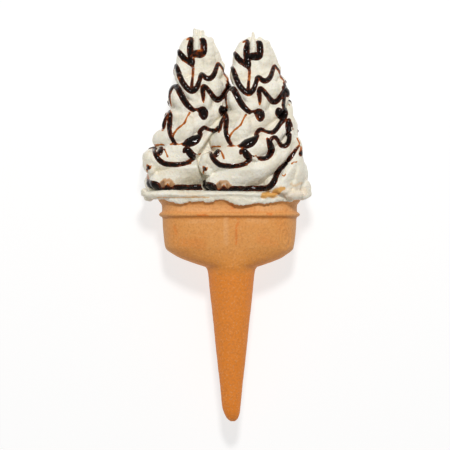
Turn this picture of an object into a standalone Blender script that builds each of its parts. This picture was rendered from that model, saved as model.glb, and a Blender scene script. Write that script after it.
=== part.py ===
"""A twin ice cream cone lying on its back.

One wafer cone with two cups side by side on a single tapered stem, filled with cream that
stands up in two piped swirls, with chocolate sauce drizzled over the shown side.

X runs across the cone, Y from the stem's tip to the swirls' tips, and Z up, towards the
shown side. Lengths are millimetres until a mesh is made, where they become metres.
"""

import math

import bmesh
import bpy
from mathutils import Matrix, Vector
from mathutils.bvhtree import BVHTree

METRES_PER_MM = 0.001
PART_NAME = "twin_soft_serve_cone"

# Gap between the cream and the wafer that holds it
GAP = 0.35

# Wafer: the rim is at Y = 0, and depths are measured from it towards the tip
WAFER_LENGTH = 145.6
WAFER_AXIS_Z = 27.0
RIM_HALF_WIDTH = 46.8
CUP_WIDTH_OVER_DEPTH = 21.8
STEM_SHIFT = 1.2
STEM_TOP_DEPTH = 45.5
STEM_TOP_RADIUS = 15.6
STEM_TAPER = 0.1067
STEM_TIP_SHIFT = 0.9
CUP_SQUARENESS = 2.6
WAIST_DEPTH = 1.6
WAIST_X = 4.6
WAIST_HALF_WIDTH = 7.0
WAFER_SIDES = 36

# Depth below the rim and half width: flared rim, neck, bead, wall and rounded underside
CUP_PROFILE = (
    (0.0, RIM_HALF_WIDTH), (1.6, 46.3), (3.4, 45.0), (4.8, 44.2), (8.7, 44.1), (9.5, 45.2),
    (10.8, 46.0), (12.0, 45.2), (12.9, 43.9), (20.0, 43.4), (27.0, 42.7), (31.4, 42.0),
    (33.2, 41.4), (34.8, 39.8),
    (37.4, 36.0), (39.6, 32.0), (41.6, 26.8), (43.4, 21.6), (44.6, 17.8), (STEM_TOP_DEPTH, 16.4),
)
WALL_BOTTOM = 31.4
STEM_DEPTHS = (49.0, 62.0, 80.0, 98.0, 116.0, 128.0, 136.4)
STEM_TIP = ((141.0, 4.8), (144.0, 3.3), (WAFER_LENGTH, 1.4))
# How far below the rim the space that the cream leaves round the wafer goes
CLEARANCE_DEPTH = 20.0

# Slab of cream across both cups, and the ragged lip that hangs over the rim in front
SLAB_THICKNESS = 6.5
SLAB_CENTRE_X = -2.6
SLAB_HALF_WIDTH = 55.4
SLAB_AXIS_Z = 26.0
SLAB_HALF_DEPTH = 29.0
SLAB_SQUARENESS = 2.7
SLAB_SIDES = 72
# Height above the rim and share of the full half width there: a rounded edge
SLAB_ROWS = ((-0.6, 0.90), (0.2, 0.955), (1.4, 0.985), (3.0, 1.0), (4.6, 0.99), (5.9, 0.965), (6.9, 0.91))
# Waves in the slab's outline and height: share or size, waves round it and phase
SLAB_EDGE_WAVES = ((0.010, 5.0, 0.6), (0.007, 11.0, 0.0))
SLAB_SAG = 0.35
SLAB_SAG_WAVES = 9
# Rounded drops of cream at the slab's left end: x, y and radius
LEFT_LUMPS = ((-54.5, 1.0, 3.4), (-51.0, -0.4, 2.6), (-55.6, 4.6, 2.8))
LEFT_LUMPS_Z = 34.0
LEFT_LUMPS_DEPTH = 2.2
LIP_THICKNESS = 2.3
LIP_START = math.radians(28)
LIP_END = math.radians(157)
LIP_STEPS = 44
LIP_SIDES = 10
LIP_TOP = 1.2
LIP_HANG = 3.6
# Ragged lower edge of the lip: size, waves per millimetre in radians, and phase
LIP_WAVES = ((0.9, 0.13, 1.0), (0.6, 0.47, 0.0), (0.35, 1.1, 0.0))

# One piped swirl, in its own frame: x from its axis, y up from the slab
# At the left end of each turn: the coil's height and half thickness, its rise to the right and
# its dip in front. Then how far the cream reaches to the left and right at a height
COIL_HEIGHTS = (8.5, 19.0, 31.0, 43.0, 57.0, 74.0, 88.0)
COIL_THICKNESS = (8.2, 8.6, 8.0, 6.6, 6.0, 5.2, 4.4)
COIL_RISE = (26.0, 28.0, 28.0, 25.0, 16.0, 8.0, 5.0)
COIL_DIP = (14.5, 11.0, 7.0, 4.5, 3.0, 2.0, 1.0)
COIL_TURNS = 5.2
LEFT_REACH = ((-8.0, 33.0), (8.5, 33.2), (19.0, 36.0), (31.0, 29.6), (43.0, 22.0), (57.0, 19.6),
              (74.0, 15.8), (88.0, 13.0), (97.0, 6.0))
RIGHT_REACH = ((-8.0, 35.0), (10.0, 33.8), (22.0, 32.8), (33.0, 30.6), (47.0, 26.9), (62.0, 23.9),
               (76.0, 18.2), (84.0, 16.4), (93.0, 12.6), (97.6, 5.5))
COIL_TOP = 94.0
COIL_OVERLAP = 0.57
COIL_NOSE_STEPS = 4
# Lumps along the coil: share of its size, and waves per turn in radians
COIL_LUMPS = ((0.07, 11.86), (0.05, 11.0))
SWIRL_SQUARENESS = 2.5
COIL_STEPS_PER_TURN = 32
COIL_SIDES = 14
# Cream inside the coils, as far inside their outer edge as this share of their thickness
CORE_BOTTOM = -4.0
CORE_TOP = 90.0
CORE_INSET = 0.9
CORE_LEVELS = 14
CORE_SIDES = 24

# Folds that stand proud of the coils: x, y, half width, half height, thickness and tilt in degrees
FOLDS = (
    (-8.5, 37.0, 6.2, 9.5, 4.0, -18.0),
    (-13.0, 56.5, 4.6, 7.2, 4.0, 12.0),
    (-7.0, 63.0, 3.8, 12.0, 3.6, 38.0),
    (11.5, 63.5, 6.2, 7.2, 4.0, -20.0),
    (7.0, 54.5, 3.0, 6.5, 3.2, -6.0),
    (30.0, 11.5, 4.2, 14.5, 6.0, 0.0),
    (22.5, 7.0, 3.4, 11.0, 5.0, -30.0),
    (31.0, -0.5, 6.0, 6.0, 8.0, 0.0),
)
# Upright lobes of the last pull of the nozzle: x, y, z of the middle, then half sizes and tilt
TOP_LOBES = (
    (-7.8, 86.0, 3.5, 4.6, 11.0, 6.4, -14.0),
    (-0.6, 90.0, 8.4, 2.3, 8.0, 4.4, 0.0),
    (6.0, 82.5, 5.6, 6.0, 15.5, 6.6, 6.0),
    (12.2, 79.5, 1.0, 3.9, 13.5, 6.4, 12.0),
    (-6.0, 82.0, -5.8, 6.0, 14.0, 6.2, -8.0),
    (5.4, 82.0, -6.6, 6.2, 14.5, 6.0, 8.0),
)
# How far a fold turns to face outwards, and how deep it is set in, as a share of its thickness
FOLD_FACING = 0.8
FOLD_SINK = 0.55
# The last pull: a thin point as height and radius with lumps beside it, or short ridges
POINT_X = -0.4
POINT_PROFILE = ((88.0, 3.0), (95.0, 2.2), (97.5, 1.4), (101.0, 0.9))
POINT_SIDES = 8
POINT_LUMPS = ((-3.0, 96.0), (4.0, 96.4))
POINT_LUMP_SIZES = (1.9, 2.6, 2.2)
RIDGE_TOPS = ((-3.2, 101.0), (-0.4, 102.0), (3.2, 100.0))
RIDGE_BOTTOM = 88.0
RIDGE_HALF_WIDTH = 1.9
RIDGE_HALF_DEPTH = 3.0
# Ring of lumps under the first coil, from its right end round the front to its left
FOOT_LUMPS = 22
FOOT_START = math.radians(62)
FOOT_SWEEP = math.radians(244)
FOOT_HEIGHT = 6.0
FOOT_RISE = 9.0
FOOT_THICKNESS = 9.0
FOOT_SINK = 4.0
FOOT_UNEVEN = 0.12

# The two swirls: axis X, base Y above the slab, stretch along Y, axis Z and depth limit,
# then the kind of tip and the side whose flank shows
SWIRLS = {
    "left": {"x": -20.8, "base": 1.0, "stretch": 1.01, "z": 20.0, "depth": 24.0,
             "tip": "ridged", "flank": -1},
    "right": {"x": 15.9, "base": 0.0, "stretch": 1.0, "z": 28.0, "depth": 39.0,
              "tip": "pointed", "flank": 1},
}

# Faceting
VOXEL = 1.5
SMOOTHING_STEPS = 2
SWIRL_TRIANGLES = 2100
SLAB_TRIANGLES = 1000

# Sauce strands on a swirl: widths at start, middle and end, then the route as x, y in its frame
STRANDS = (
    ((1.6, 2.8, 3.2), ((-6.5, 95.5), (-4.0, 96.0), (-4.5, 92.0), (-5.0, 88.5), (-4.2, 84.0),
                       (-3.8, 79.5))),
    ((3.4, 3.5, 3.4), ((3.2, 94.5), (4.0, 91.5), (4.0, 87.5), (2.5, 85.2), (-1.0, 85.2), (-4.0, 84.0))),
    ((2.8, 3.3, 2.8), ((-12.7, 87.3), (-9.0, 82.5), (-6.5, 80.6), (-4.0, 79.6))),
    ((2.8, 3.0, 1.3), ((-14.5, 78.0), (-11.5, 71.5), (-10.0, 67.5), (-6.5, 63.2), (-3.5, 61.4),
                       (-0.8, 63.2), (1.2, 68.0), (2.6, 72.8), (5.0, 70.4), (8.0, 69.6),
                       (11.0, 73.0), (13.5, 79.0), (16.5, 76.0), (17.6, 73.0), (19.8, 69.8))),
    ((2.0, 3.3, 2.6), ((19.6, 69.2), (20.2, 65.0), (17.5, 60.0), (13.2, 56.2), (9.6, 57.8), (6.2, 62.2),
                       (4.4, 63.8), (3.5, 60.5), (3.5, 55.0))),
    ((2.4, 3.2, 2.2), ((19.6, 63.5), (19.5, 57.0), (18.2, 51.0), (18.4, 44.0), (15.5, 39.5),
                       (12.5, 36.6), (7.0, 36.6), (3.2, 37.2), (0.5, 33.5), (-3.5, 29.8),
                       (-9.0, 27.6))),
    ((1.8, 2.3, 2.0), ((-18.8, 48.5), (-18.4, 42.0), (-18.6, 36.5), (-16.8, 31.0), (-15.6, 28.0))),
    ((2.4, 3.3, 2.6), ((-18.0, 54.5), (-18.8, 60.0), (-15.5, 64.8), (-12.8, 63.2), (-9.0, 56.0),
                       (-5.8, 51.4), (-2.0, 49.4), (3.0, 49.8))),
    ((2.6, 3.2, 2.8), ((-6.5, 24.0), (-2.5, 20.2), (4.0, 19.0), (8.8, 20.4), (11.4, 25.0), (10.5, 29.8),
                       (9.2, 31.4))),
    ((2.0, 2.7, 2.2), ((11.0, 30.8), (13.6, 31.7), (16.2, 29.6), (19.0, 26.6), (21.8, 27.8), (23.4, 32.0),
                       (22.6, 41.0), (22.8, 44.0))),
    ((1.8, 2.6, 2.6), ((-21.5, 26.6), (-27.6, 26.4), (-28.8, 22.0), (-23.4, 14.8), (-18.0, 14.0),
                       (-8.0, 14.6), (-3.2, 18.6), (-4.2, 22.8), (-7.5, 24.2))),
    ((2.0, 3.5, 3.0), ((-32.6, 9.0), (-31.6, 2.6), (-27.0, 0.2), (-14.0, 0.0), (2.0, -0.2), (9.0, 0.8),
                       (13.0, 4.6), (16.4, 12.2), (22.0, 18.6), (28.0, 27.0))),
)
# Pools of sauce: x, y, half length, half width and tilt in degrees
DROPS = (
    (4.0, 45.6, 4.5, 3.4, 90.0),
    (17.8, 50.2, 3.9, 3.6, 20.0),
    (-3.6, 29.8, 5.4, 2.7, 32.0),
    (20.8, 62.4, 3.4, 2.6, 60.0),
    (-25.0, 23.6, 2.3, 1.7, 60.0),
)
# Strands that go on round a flank: side (1 right, -1 left), start height, end height, width
FLANK_STRANDS = (
    (1, 69.0, 58.0, 2.4), (1, 59.0, 42.0, 2.4), (1, 37.0, 22.0, 2.2), (1, 27.0, 9.0, 2.2),
    (-1, 78.0, 66.0, 2.4), (-1, 54.5, 44.0, 2.4), (-1, 47.0, 33.0, 2.2), (-1, 25.0, 18.0, 2.2),
)
FLANK_START = math.radians(16)
FLANK_END = math.radians(-52)
FLANK_STEPS = 40
FLANK_WAVE = 2.2
DRAPE_STEP = 0.8
STRAND_STEP = 5.2
STRAND_SINK = 0.25
MAX_STRAND_DROP = 5.0
STRAND_RAMP = 4.0
DROP_HEIGHT = 2.0
DROP_SINK = 0.3
# Farther out than any surface of the cream, where a search for one starts
CLEAR_OF_ALL = 200.0
FLOOR_BLOCK = (400.0, 400.0, 100.0)
WELD_DISTANCE = 0.01

# Looks: colour, roughness
WAFER_LOOK = ((0.60, 0.27, 0.085, 1.0), 0.7)
CREAM_LOOK = ((0.82, 0.77, 0.64, 1.0), 0.55)
SHARP_ANGLE = math.radians(40)


def clear_scene():
    for obj in list(bpy.data.objects):
        bpy.data.objects.remove(obj, do_unlink=True)


def make_collection(name):
    collection = bpy.data.collections.new(name)
    bpy.context.scene.collection.children.link(collection)
    return collection


def make_material(name, look):
    colour, roughness = look
    material = bpy.data.materials.new(name)
    material.use_nodes = True
    shader = material.node_tree.nodes["Principled BSDF"]
    shader.inputs["Base Color"].default_value = colour
    shader.inputs["Roughness"].default_value = roughness
    shader.inputs["Metallic"].default_value = 0.0
    material.diffuse_color = colour
    return material


def table(pairs, at):
    """Reads a piecewise linear table of (position, value) pairs."""
    if at <= pairs[0][0]:
        return pairs[0][1]
    for (x0, v0), (x1, v1) in zip(pairs, pairs[1:]):
        if at <= x1:
            return v0 + (v1 - v0) * (at - x0) / (x1 - x0)
    return pairs[-1][1]


def by_turn(values, turn):
    """Reads a value given at each whole turn, extended past both ends."""
    last = len(values) - 1
    index = min(max(math.floor(turn), 0), last - 1)
    return values[index] + (values[index + 1] - values[index]) * (turn - index)


def waves(terms, at):
    """Sum of sine waves, each given as size, frequency and phase."""
    return sum(size * math.sin(frequency * at + phase) for size, frequency, phase in terms)


def squared_circle(angle, squareness):
    """Point of a unit circle whose sides are flattened towards a square."""
    c, s = math.cos(angle), math.sin(angle)
    power = 2.0 / squareness
    return math.copysign(abs(c) ** power, c), math.copysign(abs(s) ** power, s)


def loft(bm, rings):
    """Closed surface through rings of equal count, with a flat cap at each end."""
    loops = [[bm.verts.new(point) for point in ring] for ring in rings]
    count = len(loops[0])
    for low, high in zip(loops, loops[1:]):
        for i in range(count):
            j = (i + 1) % count
            bm.faces.new((low[i], low[j], high[j], high[i]))
    bm.faces.new(list(reversed(loops[0])))
    bm.faces.new(loops[-1])


def ellipsoid(bm, centre, half_sizes, tilt_degrees=0.0, turn_degrees=0.0, segments=16):
    """Ellipsoid whose long way is tilted about Z and then turned about Y."""
    place = (
        Matrix.Translation(centre)
        @ Matrix.Rotation(math.radians(turn_degrees), 4, "Y")
        @ Matrix.Rotation(math.radians(tilt_degrees), 4, "Z")
        @ Matrix.Diagonal((*half_sizes, 1.0))
    )
    rings = segments // 2
    bmesh.ops.create_uvsphere(bm, u_segments=segments, v_segments=rings, radius=1.0, matrix=place)


def finish_mesh(bm, name):
    bmesh.ops.recalc_face_normals(bm, faces=bm.faces)
    mesh = bpy.data.meshes.new(name)
    bm.to_mesh(mesh)
    bm.free()
    return mesh


def link(mesh, name, collection):
    obj = bpy.data.objects.new(name, mesh)
    collection.objects.link(obj)
    return obj


def evaluated_mesh(obj):
    depsgraph = bpy.context.evaluated_depsgraph_get()
    return bpy.data.meshes.new_from_object(obj.evaluated_get(depsgraph))


def fuse(bm, name, triangles, collection):
    """Joins overlapping shells into one smooth skin with about the given number of triangles."""
    obj = link(finish_mesh(bm, name), name, collection)
    remesh = obj.modifiers.new("join", "REMESH")
    remesh.mode = "VOXEL"
    remesh.voxel_size = VOXEL
    smooth = obj.modifiers.new("soften", "SMOOTH")
    smooth.factor = 0.5
    smooth.iterations = SMOOTHING_STEPS
    joined = evaluated_mesh(obj)
    obj.modifiers.clear()
    obj.data = joined
    reduce = obj.modifiers.new("reduce", "DECIMATE")
    reduce.ratio = triangles / (2.0 * len(joined.polygons))
    obj.data = evaluated_mesh(obj)
    obj.modifiers.clear()
    return obj


# Wafer


def wafer_profile():
    """Depth below the rim with the half width and half depth of the wafer there."""
    stem_half_width = CUP_PROFILE[-1][1]
    rows = []
    for depth, half_width in CUP_PROFILE:
        blend = max(0.0, (depth - WALL_BOTTOM) / (STEM_TOP_DEPTH - WALL_BOTTOM))
        half_depth = table(CUP_PROFILE, min(depth, WALL_BOTTOM)) - CUP_WIDTH_OVER_DEPTH
        rows.append((depth, half_width, half_depth + (stem_half_width - half_depth) * blend, blend))
    for depth in STEM_DEPTHS:
        radius = STEM_TOP_RADIUS - STEM_TAPER * (depth - STEM_TOP_DEPTH)
        rows.append((depth, radius, radius, 1.0))
    for depth, radius in STEM_TIP:
        rows.append((depth, radius, radius, 1.0))
    return rows


def wafer_ring(depth, half_width, half_depth, blend, grow=0.0):
    """Outline at one depth: a squared oval with a shallow waist, which becomes a circle."""
    squareness = CUP_SQUARENESS + (2.0 - CUP_SQUARENESS) * blend
    tip = max(0.0, (depth - STEM_DEPTHS[-1]) / (WAFER_LENGTH - STEM_DEPTHS[-1]))
    centre_x = STEM_SHIFT * blend + STEM_TIP_SHIFT * tip
    ring = []
    for i in range(WAFER_SIDES):
        c, s = squared_circle(math.tau * i / WAFER_SIDES, squareness)
        x = centre_x + (half_width + grow) * c
        waist = WAIST_DEPTH * (1.0 - blend) * math.exp(-(((x - WAIST_X) / WAIST_HALF_WIDTH) ** 2))
        ring.append((x, -depth, WAFER_AXIS_Z + (half_depth + grow - waist) * s))
    return ring


def make_wafer(collection):
    bm = bmesh.new()
    loft(bm, [wafer_ring(*row) for row in wafer_profile()])
    return link(finish_mesh(bm, "wafer_cone"), "wafer_cone", collection)


def make_wafer_clearance(collection):
    """Cutter that keeps the cream off the wafer's rim and the outside below it."""
    rows = [row for row in wafer_profile() if row[0] <= CLEARANCE_DEPTH]
    top = (-GAP,) + rows[0][1:]
    bm = bmesh.new()
    loft(bm, [wafer_ring(*row, grow=GAP) for row in [top] + rows])
    return link(finish_mesh(bm, "wafer_clearance"), "wafer_clearance", collection)


# Cream


def reach(y, side):
    return table(RIGHT_REACH if side >= 0 else LEFT_REACH, y)


def depth_reach(y, limit):
    """Half depth of a swirl at a height, never more than its limit."""
    half_width = 0.5 * (reach(y, 1) + reach(y, -1))
    return (half_width**-4 + limit**-4) ** -0.25


def coil_height(turn):
    """Height of a coil's middle: it rises to the right and dips in front."""
    angle = math.tau * turn
    rise = 0.5 * by_turn(COIL_RISE, turn) * (1.0 - math.cos(angle))
    return by_turn(COIL_HEIGHTS, turn) + rise - by_turn(COIL_DIP, turn) * math.sin(angle)


def coil_point(turn, limit):
    """Middle of the coil, from the left end over the front to the right and round the back."""
    y = min(coil_height(turn), COIL_TOP)
    thickness = by_turn(COIL_THICKNESS, turn)
    c, s = squared_circle(math.pi - math.tau * turn, SWIRL_SQUARENESS)
    x = c * max(reach(y, c) - thickness, 1.0)
    z = s * max(depth_reach(y, limit) - thickness, 1.0)
    return Vector((x, y, z))


def add_coil(bm, limit):
    """The piped ribbon: an oval section swept up the swirl, with a rounded nose at its start."""
    rings = []
    steps = int(COIL_TURNS * COIL_STEPS_PER_TURN)
    for step in range(steps + 1):
        turn = step / COIL_STEPS_PER_TURN
        centre = coil_point(turn, limit)
        along = coil_point(turn + 0.01, limit) - coil_point(turn - 0.01, limit)
        out = along.cross(Vector((0.0, 1.0, 0.0))).normalized()
        up = out.cross(along).normalized()
        pitch = 0.5 * (coil_height(turn + 1.0) - coil_height(turn - 1.0))
        lump = 1.0 + sum(share * math.sin(frequency * turn) for share, frequency in COIL_LUMPS)
        ends = min(step + 0.3, steps - step + 0.3, COIL_NOSE_STEPS) / COIL_NOSE_STEPS
        nose = math.sqrt(1.0 - (1.0 - ends) ** 2)
        half_out = by_turn(COIL_THICKNESS, turn) * nose * lump
        half_up = COIL_OVERLAP * pitch * up.y * nose * lump
        rings.append([
            centre + out * (half_out * math.cos(a)) + up * (half_up * math.sin(a))
            for a in (math.tau * i / COIL_SIDES for i in range(COIL_SIDES))
        ])
    loft(bm, rings)


def add_core(bm, limit):
    """The cream inside the coils, from below the slab's top to just under the tip."""
    rings = []
    for level in range(CORE_LEVELS + 1):
        y = CORE_BOTTOM + (CORE_TOP - CORE_BOTTOM) * level / CORE_LEVELS
        inset = CORE_INSET * table(list(zip(COIL_HEIGHTS, COIL_THICKNESS)), y)
        half_depth = max(depth_reach(y, limit) - inset, 1.5)
        ring = []
        for i in range(CORE_SIDES):
            c, s = squared_circle(math.tau * i / CORE_SIDES, SWIRL_SQUARENESS)
            ring.append((c * max(reach(y, c) - inset, 1.5), y, s * half_depth))
        rings.append(ring)
    loft(bm, rings)


def add_foot(bm, limit):
    """A low ring of cream under the first coil, where that has risen off the slab."""
    for i in range(FOOT_LUMPS):
        along = i / (FOOT_LUMPS - 1)
        c, s = squared_circle(FOOT_START - FOOT_SWEEP * along, SWIRL_SQUARENESS)
        lift = FOOT_HEIGHT + FOOT_RISE * math.sin(math.pi * along)
        size = FOOT_THICKNESS * (1.0 + FOOT_UNEVEN * math.sin(2.3 * i))
        x = c * (reach(lift, c) - size + 1.0)
        z = s * (depth_reach(lift, limit) - size + 1.0)
        ellipsoid(bm, (x, lift - FOOT_SINK, z), (size, lift, size))


def add_folds(bm, limit):
    """Folds on the shown side, each set into the coils it lies on."""
    for x, y, half_width, half_height, thickness, tilt in FOLDS:
        side = min(abs(x) / reach(y, x), 0.98)
        z = depth_reach(y, limit) * (1.0 - side**SWIRL_SQUARENESS) ** (1.0 / SWIRL_SQUARENESS)
        facing = math.degrees(math.asin(side)) * math.copysign(FOLD_FACING, x)
        out = Matrix.Rotation(math.radians(facing), 3, "Y") @ Vector((0.0, 0.0, 1.0))
        centre = Vector((x, y, z)) - FOLD_SINK * thickness * out
        ellipsoid(bm, centre, (half_width, half_height, thickness), tilt, facing)


def add_top_lobes(bm):
    for x, y, z, half_x, half_y, half_z, tilt in TOP_LOBES:
        ellipsoid(bm, (x, y, z), (half_x, half_y, half_z), tilt)


def add_tip(bm, kind):
    """The last of the cream pulled up: one thin point, or the short ridges a star nozzle leaves."""
    if kind == "pointed":
        around = [math.tau * i / POINT_SIDES for i in range(POINT_SIDES)]
        loft(bm, [
            [(POINT_X + radius * math.cos(a), y, radius * math.sin(a)) for a in around]
            for y, radius in POINT_PROFILE
        ])
        for x, y in POINT_LUMPS:
            ellipsoid(bm, (x, y, 0.5), POINT_LUMP_SIZES)
    else:
        for x, top in RIDGE_TOPS:
            middle = 0.5 * (RIDGE_BOTTOM + top)
            sizes = (RIDGE_HALF_WIDTH, top - middle, RIDGE_HALF_DEPTH)
            ellipsoid(bm, (x, middle, 0.5), sizes)


def make_swirl(name, swirl, collection):
    bm = bmesh.new()
    add_core(bm, swirl["depth"])
    add_foot(bm, swirl["depth"])
    add_coil(bm, swirl["depth"])
    add_folds(bm, swirl["depth"])
    add_top_lobes(bm)
    add_tip(bm, swirl["tip"])
    base = SLAB_THICKNESS + swirl["base"]
    stretch = Matrix.Diagonal((1.0, swirl["stretch"], 1.0, 1.0))
    place = Matrix.Translation((swirl["x"], base, swirl["z"])) @ stretch
    bmesh.ops.transform(bm, matrix=place, verts=bm.verts)
    return fuse(bm, name, SWIRL_TRIANGLES, collection)


def slab_outline(angle):
    """Unit outline of the slab with a gently uneven edge."""
    c, s = squared_circle(angle, SLAB_SQUARENESS)
    uneven = 1.0 + waves(SLAB_EDGE_WAVES, angle)
    return c * uneven, s * uneven


def add_slab(bm):
    """The flat layer of cream on both cups, with a rounded edge."""
    rings = []
    for y, size in SLAB_ROWS:
        half_depth = SLAB_HALF_DEPTH - SLAB_HALF_WIDTH * (1.0 - size)
        ring = []
        for i in range(SLAB_SIDES):
            angle = math.tau * i / SLAB_SIDES
            c, s = slab_outline(angle)
            sag = SLAB_SAG * math.sin(SLAB_SAG_WAVES * angle)
            x = SLAB_CENTRE_X + SLAB_HALF_WIDTH * size * c
            ring.append((x, y + sag, SLAB_AXIS_Z + half_depth * s))
        rings.append(ring)
    loft(bm, rings)


def add_lip(bm):
    """Thin ragged band of cream that hangs over the rim along the shown side."""
    rings = []
    for step in range(LIP_STEPS + 1):
        angle = LIP_START + (LIP_END - LIP_START) * step / LIP_STEPS
        c, s = squared_circle(angle, CUP_SQUARENESS)
        x = RIM_HALF_WIDTH * c
        z = WAFER_AXIS_Z + (RIM_HALF_WIDTH - CUP_WIDTH_OVER_DEPTH) * s
        out = Vector((c * 0.55, 0.0, s)).normalized()
        hang = LIP_HANG + waves(LIP_WAVES, x)
        ends = min(step, LIP_STEPS - step, 3) / 3.0
        hang *= 0.35 + 0.65 * ends
        middle = Vector((x, LIP_TOP - 0.5 * hang, z)) + out * (0.2 * LIP_THICKNESS)
        half_height = Vector((0.0, 0.5 * hang + LIP_TOP, 0.0))
        rings.append([
            middle + out * (LIP_THICKNESS * math.cos(a)) + half_height * math.sin(a)
            for a in (math.tau * i / LIP_SIDES for i in range(LIP_SIDES))
        ])
    loft(bm, rings)


def add_left_lumps(bm):
    """Rounded drops of cream at the slab's left end."""
    for x, y, size in LEFT_LUMPS:
        ellipsoid(bm, (x, y, LEFT_LUMPS_Z), (size, size, size * LEFT_LUMPS_DEPTH))


def make_slab(collection):
    bm = bmesh.new()
    add_slab(bm)
    add_lip(bm)
    add_left_lumps(bm)
    return fuse(bm, "cream_slab", SLAB_TRIANGLES, collection)


# Sauce


def smooth_route(points, step):
    """Points about a step apart on a smooth curve through the route's own points."""
    points = [Vector(p) for p in points]
    ends = [2 * points[0] - points[1]] + points + [2 * points[-1] - points[-2]]
    smooth = []
    for p0, p1, p2, p3 in zip(ends, ends[1:], ends[2:], ends[3:]):
        pieces = max(1, round((p2 - p1).length / step))
        for k in range(pieces):
            t = k / pieces
            bend = (2 * p0 - 5 * p1 + 4 * p2 - p3) * t**2
            twist = (3 * p1 - p0 - 3 * p2 + p3) * t**3
            smooth.append(0.5 * (2 * p1 + (p2 - p0) * t + bend + twist))
    return smooth + [points[-1]]


def to_part(swirl, x, y):
    """X and Y in the part's frame of a point in a swirl's own frame."""
    return swirl["x"] + x, SLAB_THICKNESS + swirl["base"] + swirl["stretch"] * y


def drape(tree, swirl, x, y):
    """Where a point of a route lies on the shown side of a swirl, or nothing past its edge."""
    px, py = to_part(swirl, x, y)
    return tree.ray_cast(Vector((px, py, CLEAR_OF_ALL)), Vector((0.0, 0.0, -1.0)))[0]


def drape_flank(tree, swirl, angle, y):
    """Where a point of a flank strand lies, seen from straight out of the swirl's axis."""
    px, py = to_part(swirl, 0.0, y)
    out = Vector((math.cos(angle), 0.0, math.sin(angle)))
    axis = Vector((px, py, swirl["z"]))
    return tree.ray_cast(axis + CLEAR_OF_ALL * out, -out)[0]


def on_surface(points):
    """The longest run of points in which the strand doesn't fall off an edge of the cream."""
    runs = [[]]
    for point in points:
        if point is None or (runs[-1] and (point - runs[-1][-1]).length > MAX_STRAND_DROP):
            runs.append([])
        if point is not None:
            runs[-1].append(point)
    return max(runs, key=len)


def even_steps(points, step):
    """Points about a step apart along a line through closely spaced points."""
    lengths = [(b - a).length for a, b in zip(points, points[1:])]
    pieces = max(2, round(sum(lengths) / step))
    spaced = [points[0]]
    walked = 0.0
    for point, length in zip(points[1:], lengths):
        walked += length
        if walked >= sum(lengths) * len(spaced) / pieces and len(spaced) < pieces:
            spaced.append(point)
    return spaced + [points[-1]]


def strand_object(name, points, radii, collection):
    """A strand of sauce as a tube, made a closed mesh."""
    curve = bpy.data.curves.new(name, "CURVE")
    curve.dimensions = "3D"
    curve.bevel_depth = 1.0
    curve.bevel_resolution = 1
    curve.render_resolution_u = 0
    curve.use_fill_caps = True
    spline = curve.splines.new("POLY")
    spline.points.add(len(points) - 1)
    for slot, point, radius in zip(spline.points, points, radii):
        slot.co = (*point, 1.0)
        slot.radius = radius
    tube = bpy.data.objects.new(name, curve)
    collection.objects.link(tube)
    mesh = evaluated_mesh(tube)
    matrix = tube.matrix_world.copy()
    bpy.data.objects.remove(tube, do_unlink=True)
    bm = bmesh.new()
    bm.from_mesh(mesh)
    bmesh.ops.remove_doubles(bm, verts=bm.verts, dist=0.001)
    obj = link(finish_mesh(bm, name), name, collection)
    obj.matrix_world = matrix
    return obj


def strand_width(widths, along):
    start, middle, end = widths
    if along < 0.5:
        return start + (middle - start) * min(1.0, along * STRAND_RAMP)
    return end + (middle - end) * min(1.0, (1.0 - along) * STRAND_RAMP)


def make_sauce(name, swirl, tree, collection):
    """Strands and pools of sauce on one swirl, each a closed mesh of its own."""
    runs = []
    for widths, route in STRANDS:
        flat = smooth_route([(x, y, 0.0) for x, y in route], DRAPE_STEP)
        runs.append((widths, [drape(tree, swirl, p.x, p.y) for p in flat]))
    for side, high, low, width in FLANK_STRANDS:
        if side != swirl["flank"]:
            continue
        points = []
        for step in range(FLANK_STEPS + 1):
            along = step / FLANK_STEPS
            angle = FLANK_START + (FLANK_END - FLANK_START) * along
            angle = angle if side > 0 else math.pi - angle
            wave = FLANK_WAVE * math.sin(math.tau * along)
            points.append(drape_flank(tree, swirl, angle, high + (low - high) * along + wave))
        runs.append(((width, width, 0.7 * width), points))
    for number, (widths, points) in enumerate(runs):
        points = even_steps(on_surface(points), STRAND_STEP)
        last = len(points) - 1
        radii = [0.5 * strand_width(widths, i / last) for i in range(last + 1)]
        lowered = [point - Vector((0.0, 0.0, STRAND_SINK)) for point in points]
        strand_object(f"{name}_strand_{number:02d}", lowered, radii, collection)
    for number, (x, y, half_length, half_width, tilt) in enumerate(DROPS):
        centre = drape(tree, swirl, x, y) - Vector((0.0, 0.0, DROP_SINK))
        bm = bmesh.new()
        ellipsoid(bm, centre, (half_length, half_width, DROP_HEIGHT), tilt, segments=10)
        link(finish_mesh(bm, "drop"), f"{name}_drop_{number:02d}", collection)


def surface_tree(obj):
    bm = bmesh.new()
    bm.from_mesh(obj.data)
    tree = BVHTree.FromBMesh(bm)
    bm.free()
    return tree


def make_floor_cutter(collection):
    """Block under the part: where the cream meets it, its back is flat and the part rests."""
    bm = bmesh.new()
    lowered = Matrix.Translation((0.0, 0.0, -0.5 * FLOOR_BLOCK[2]))
    bmesh.ops.create_cube(bm, size=1.0, matrix=lowered @ Matrix.Diagonal((*FLOOR_BLOCK, 1.0)))
    return link(finish_mesh(bm, "floor_block"), "floor_block", collection)


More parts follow.
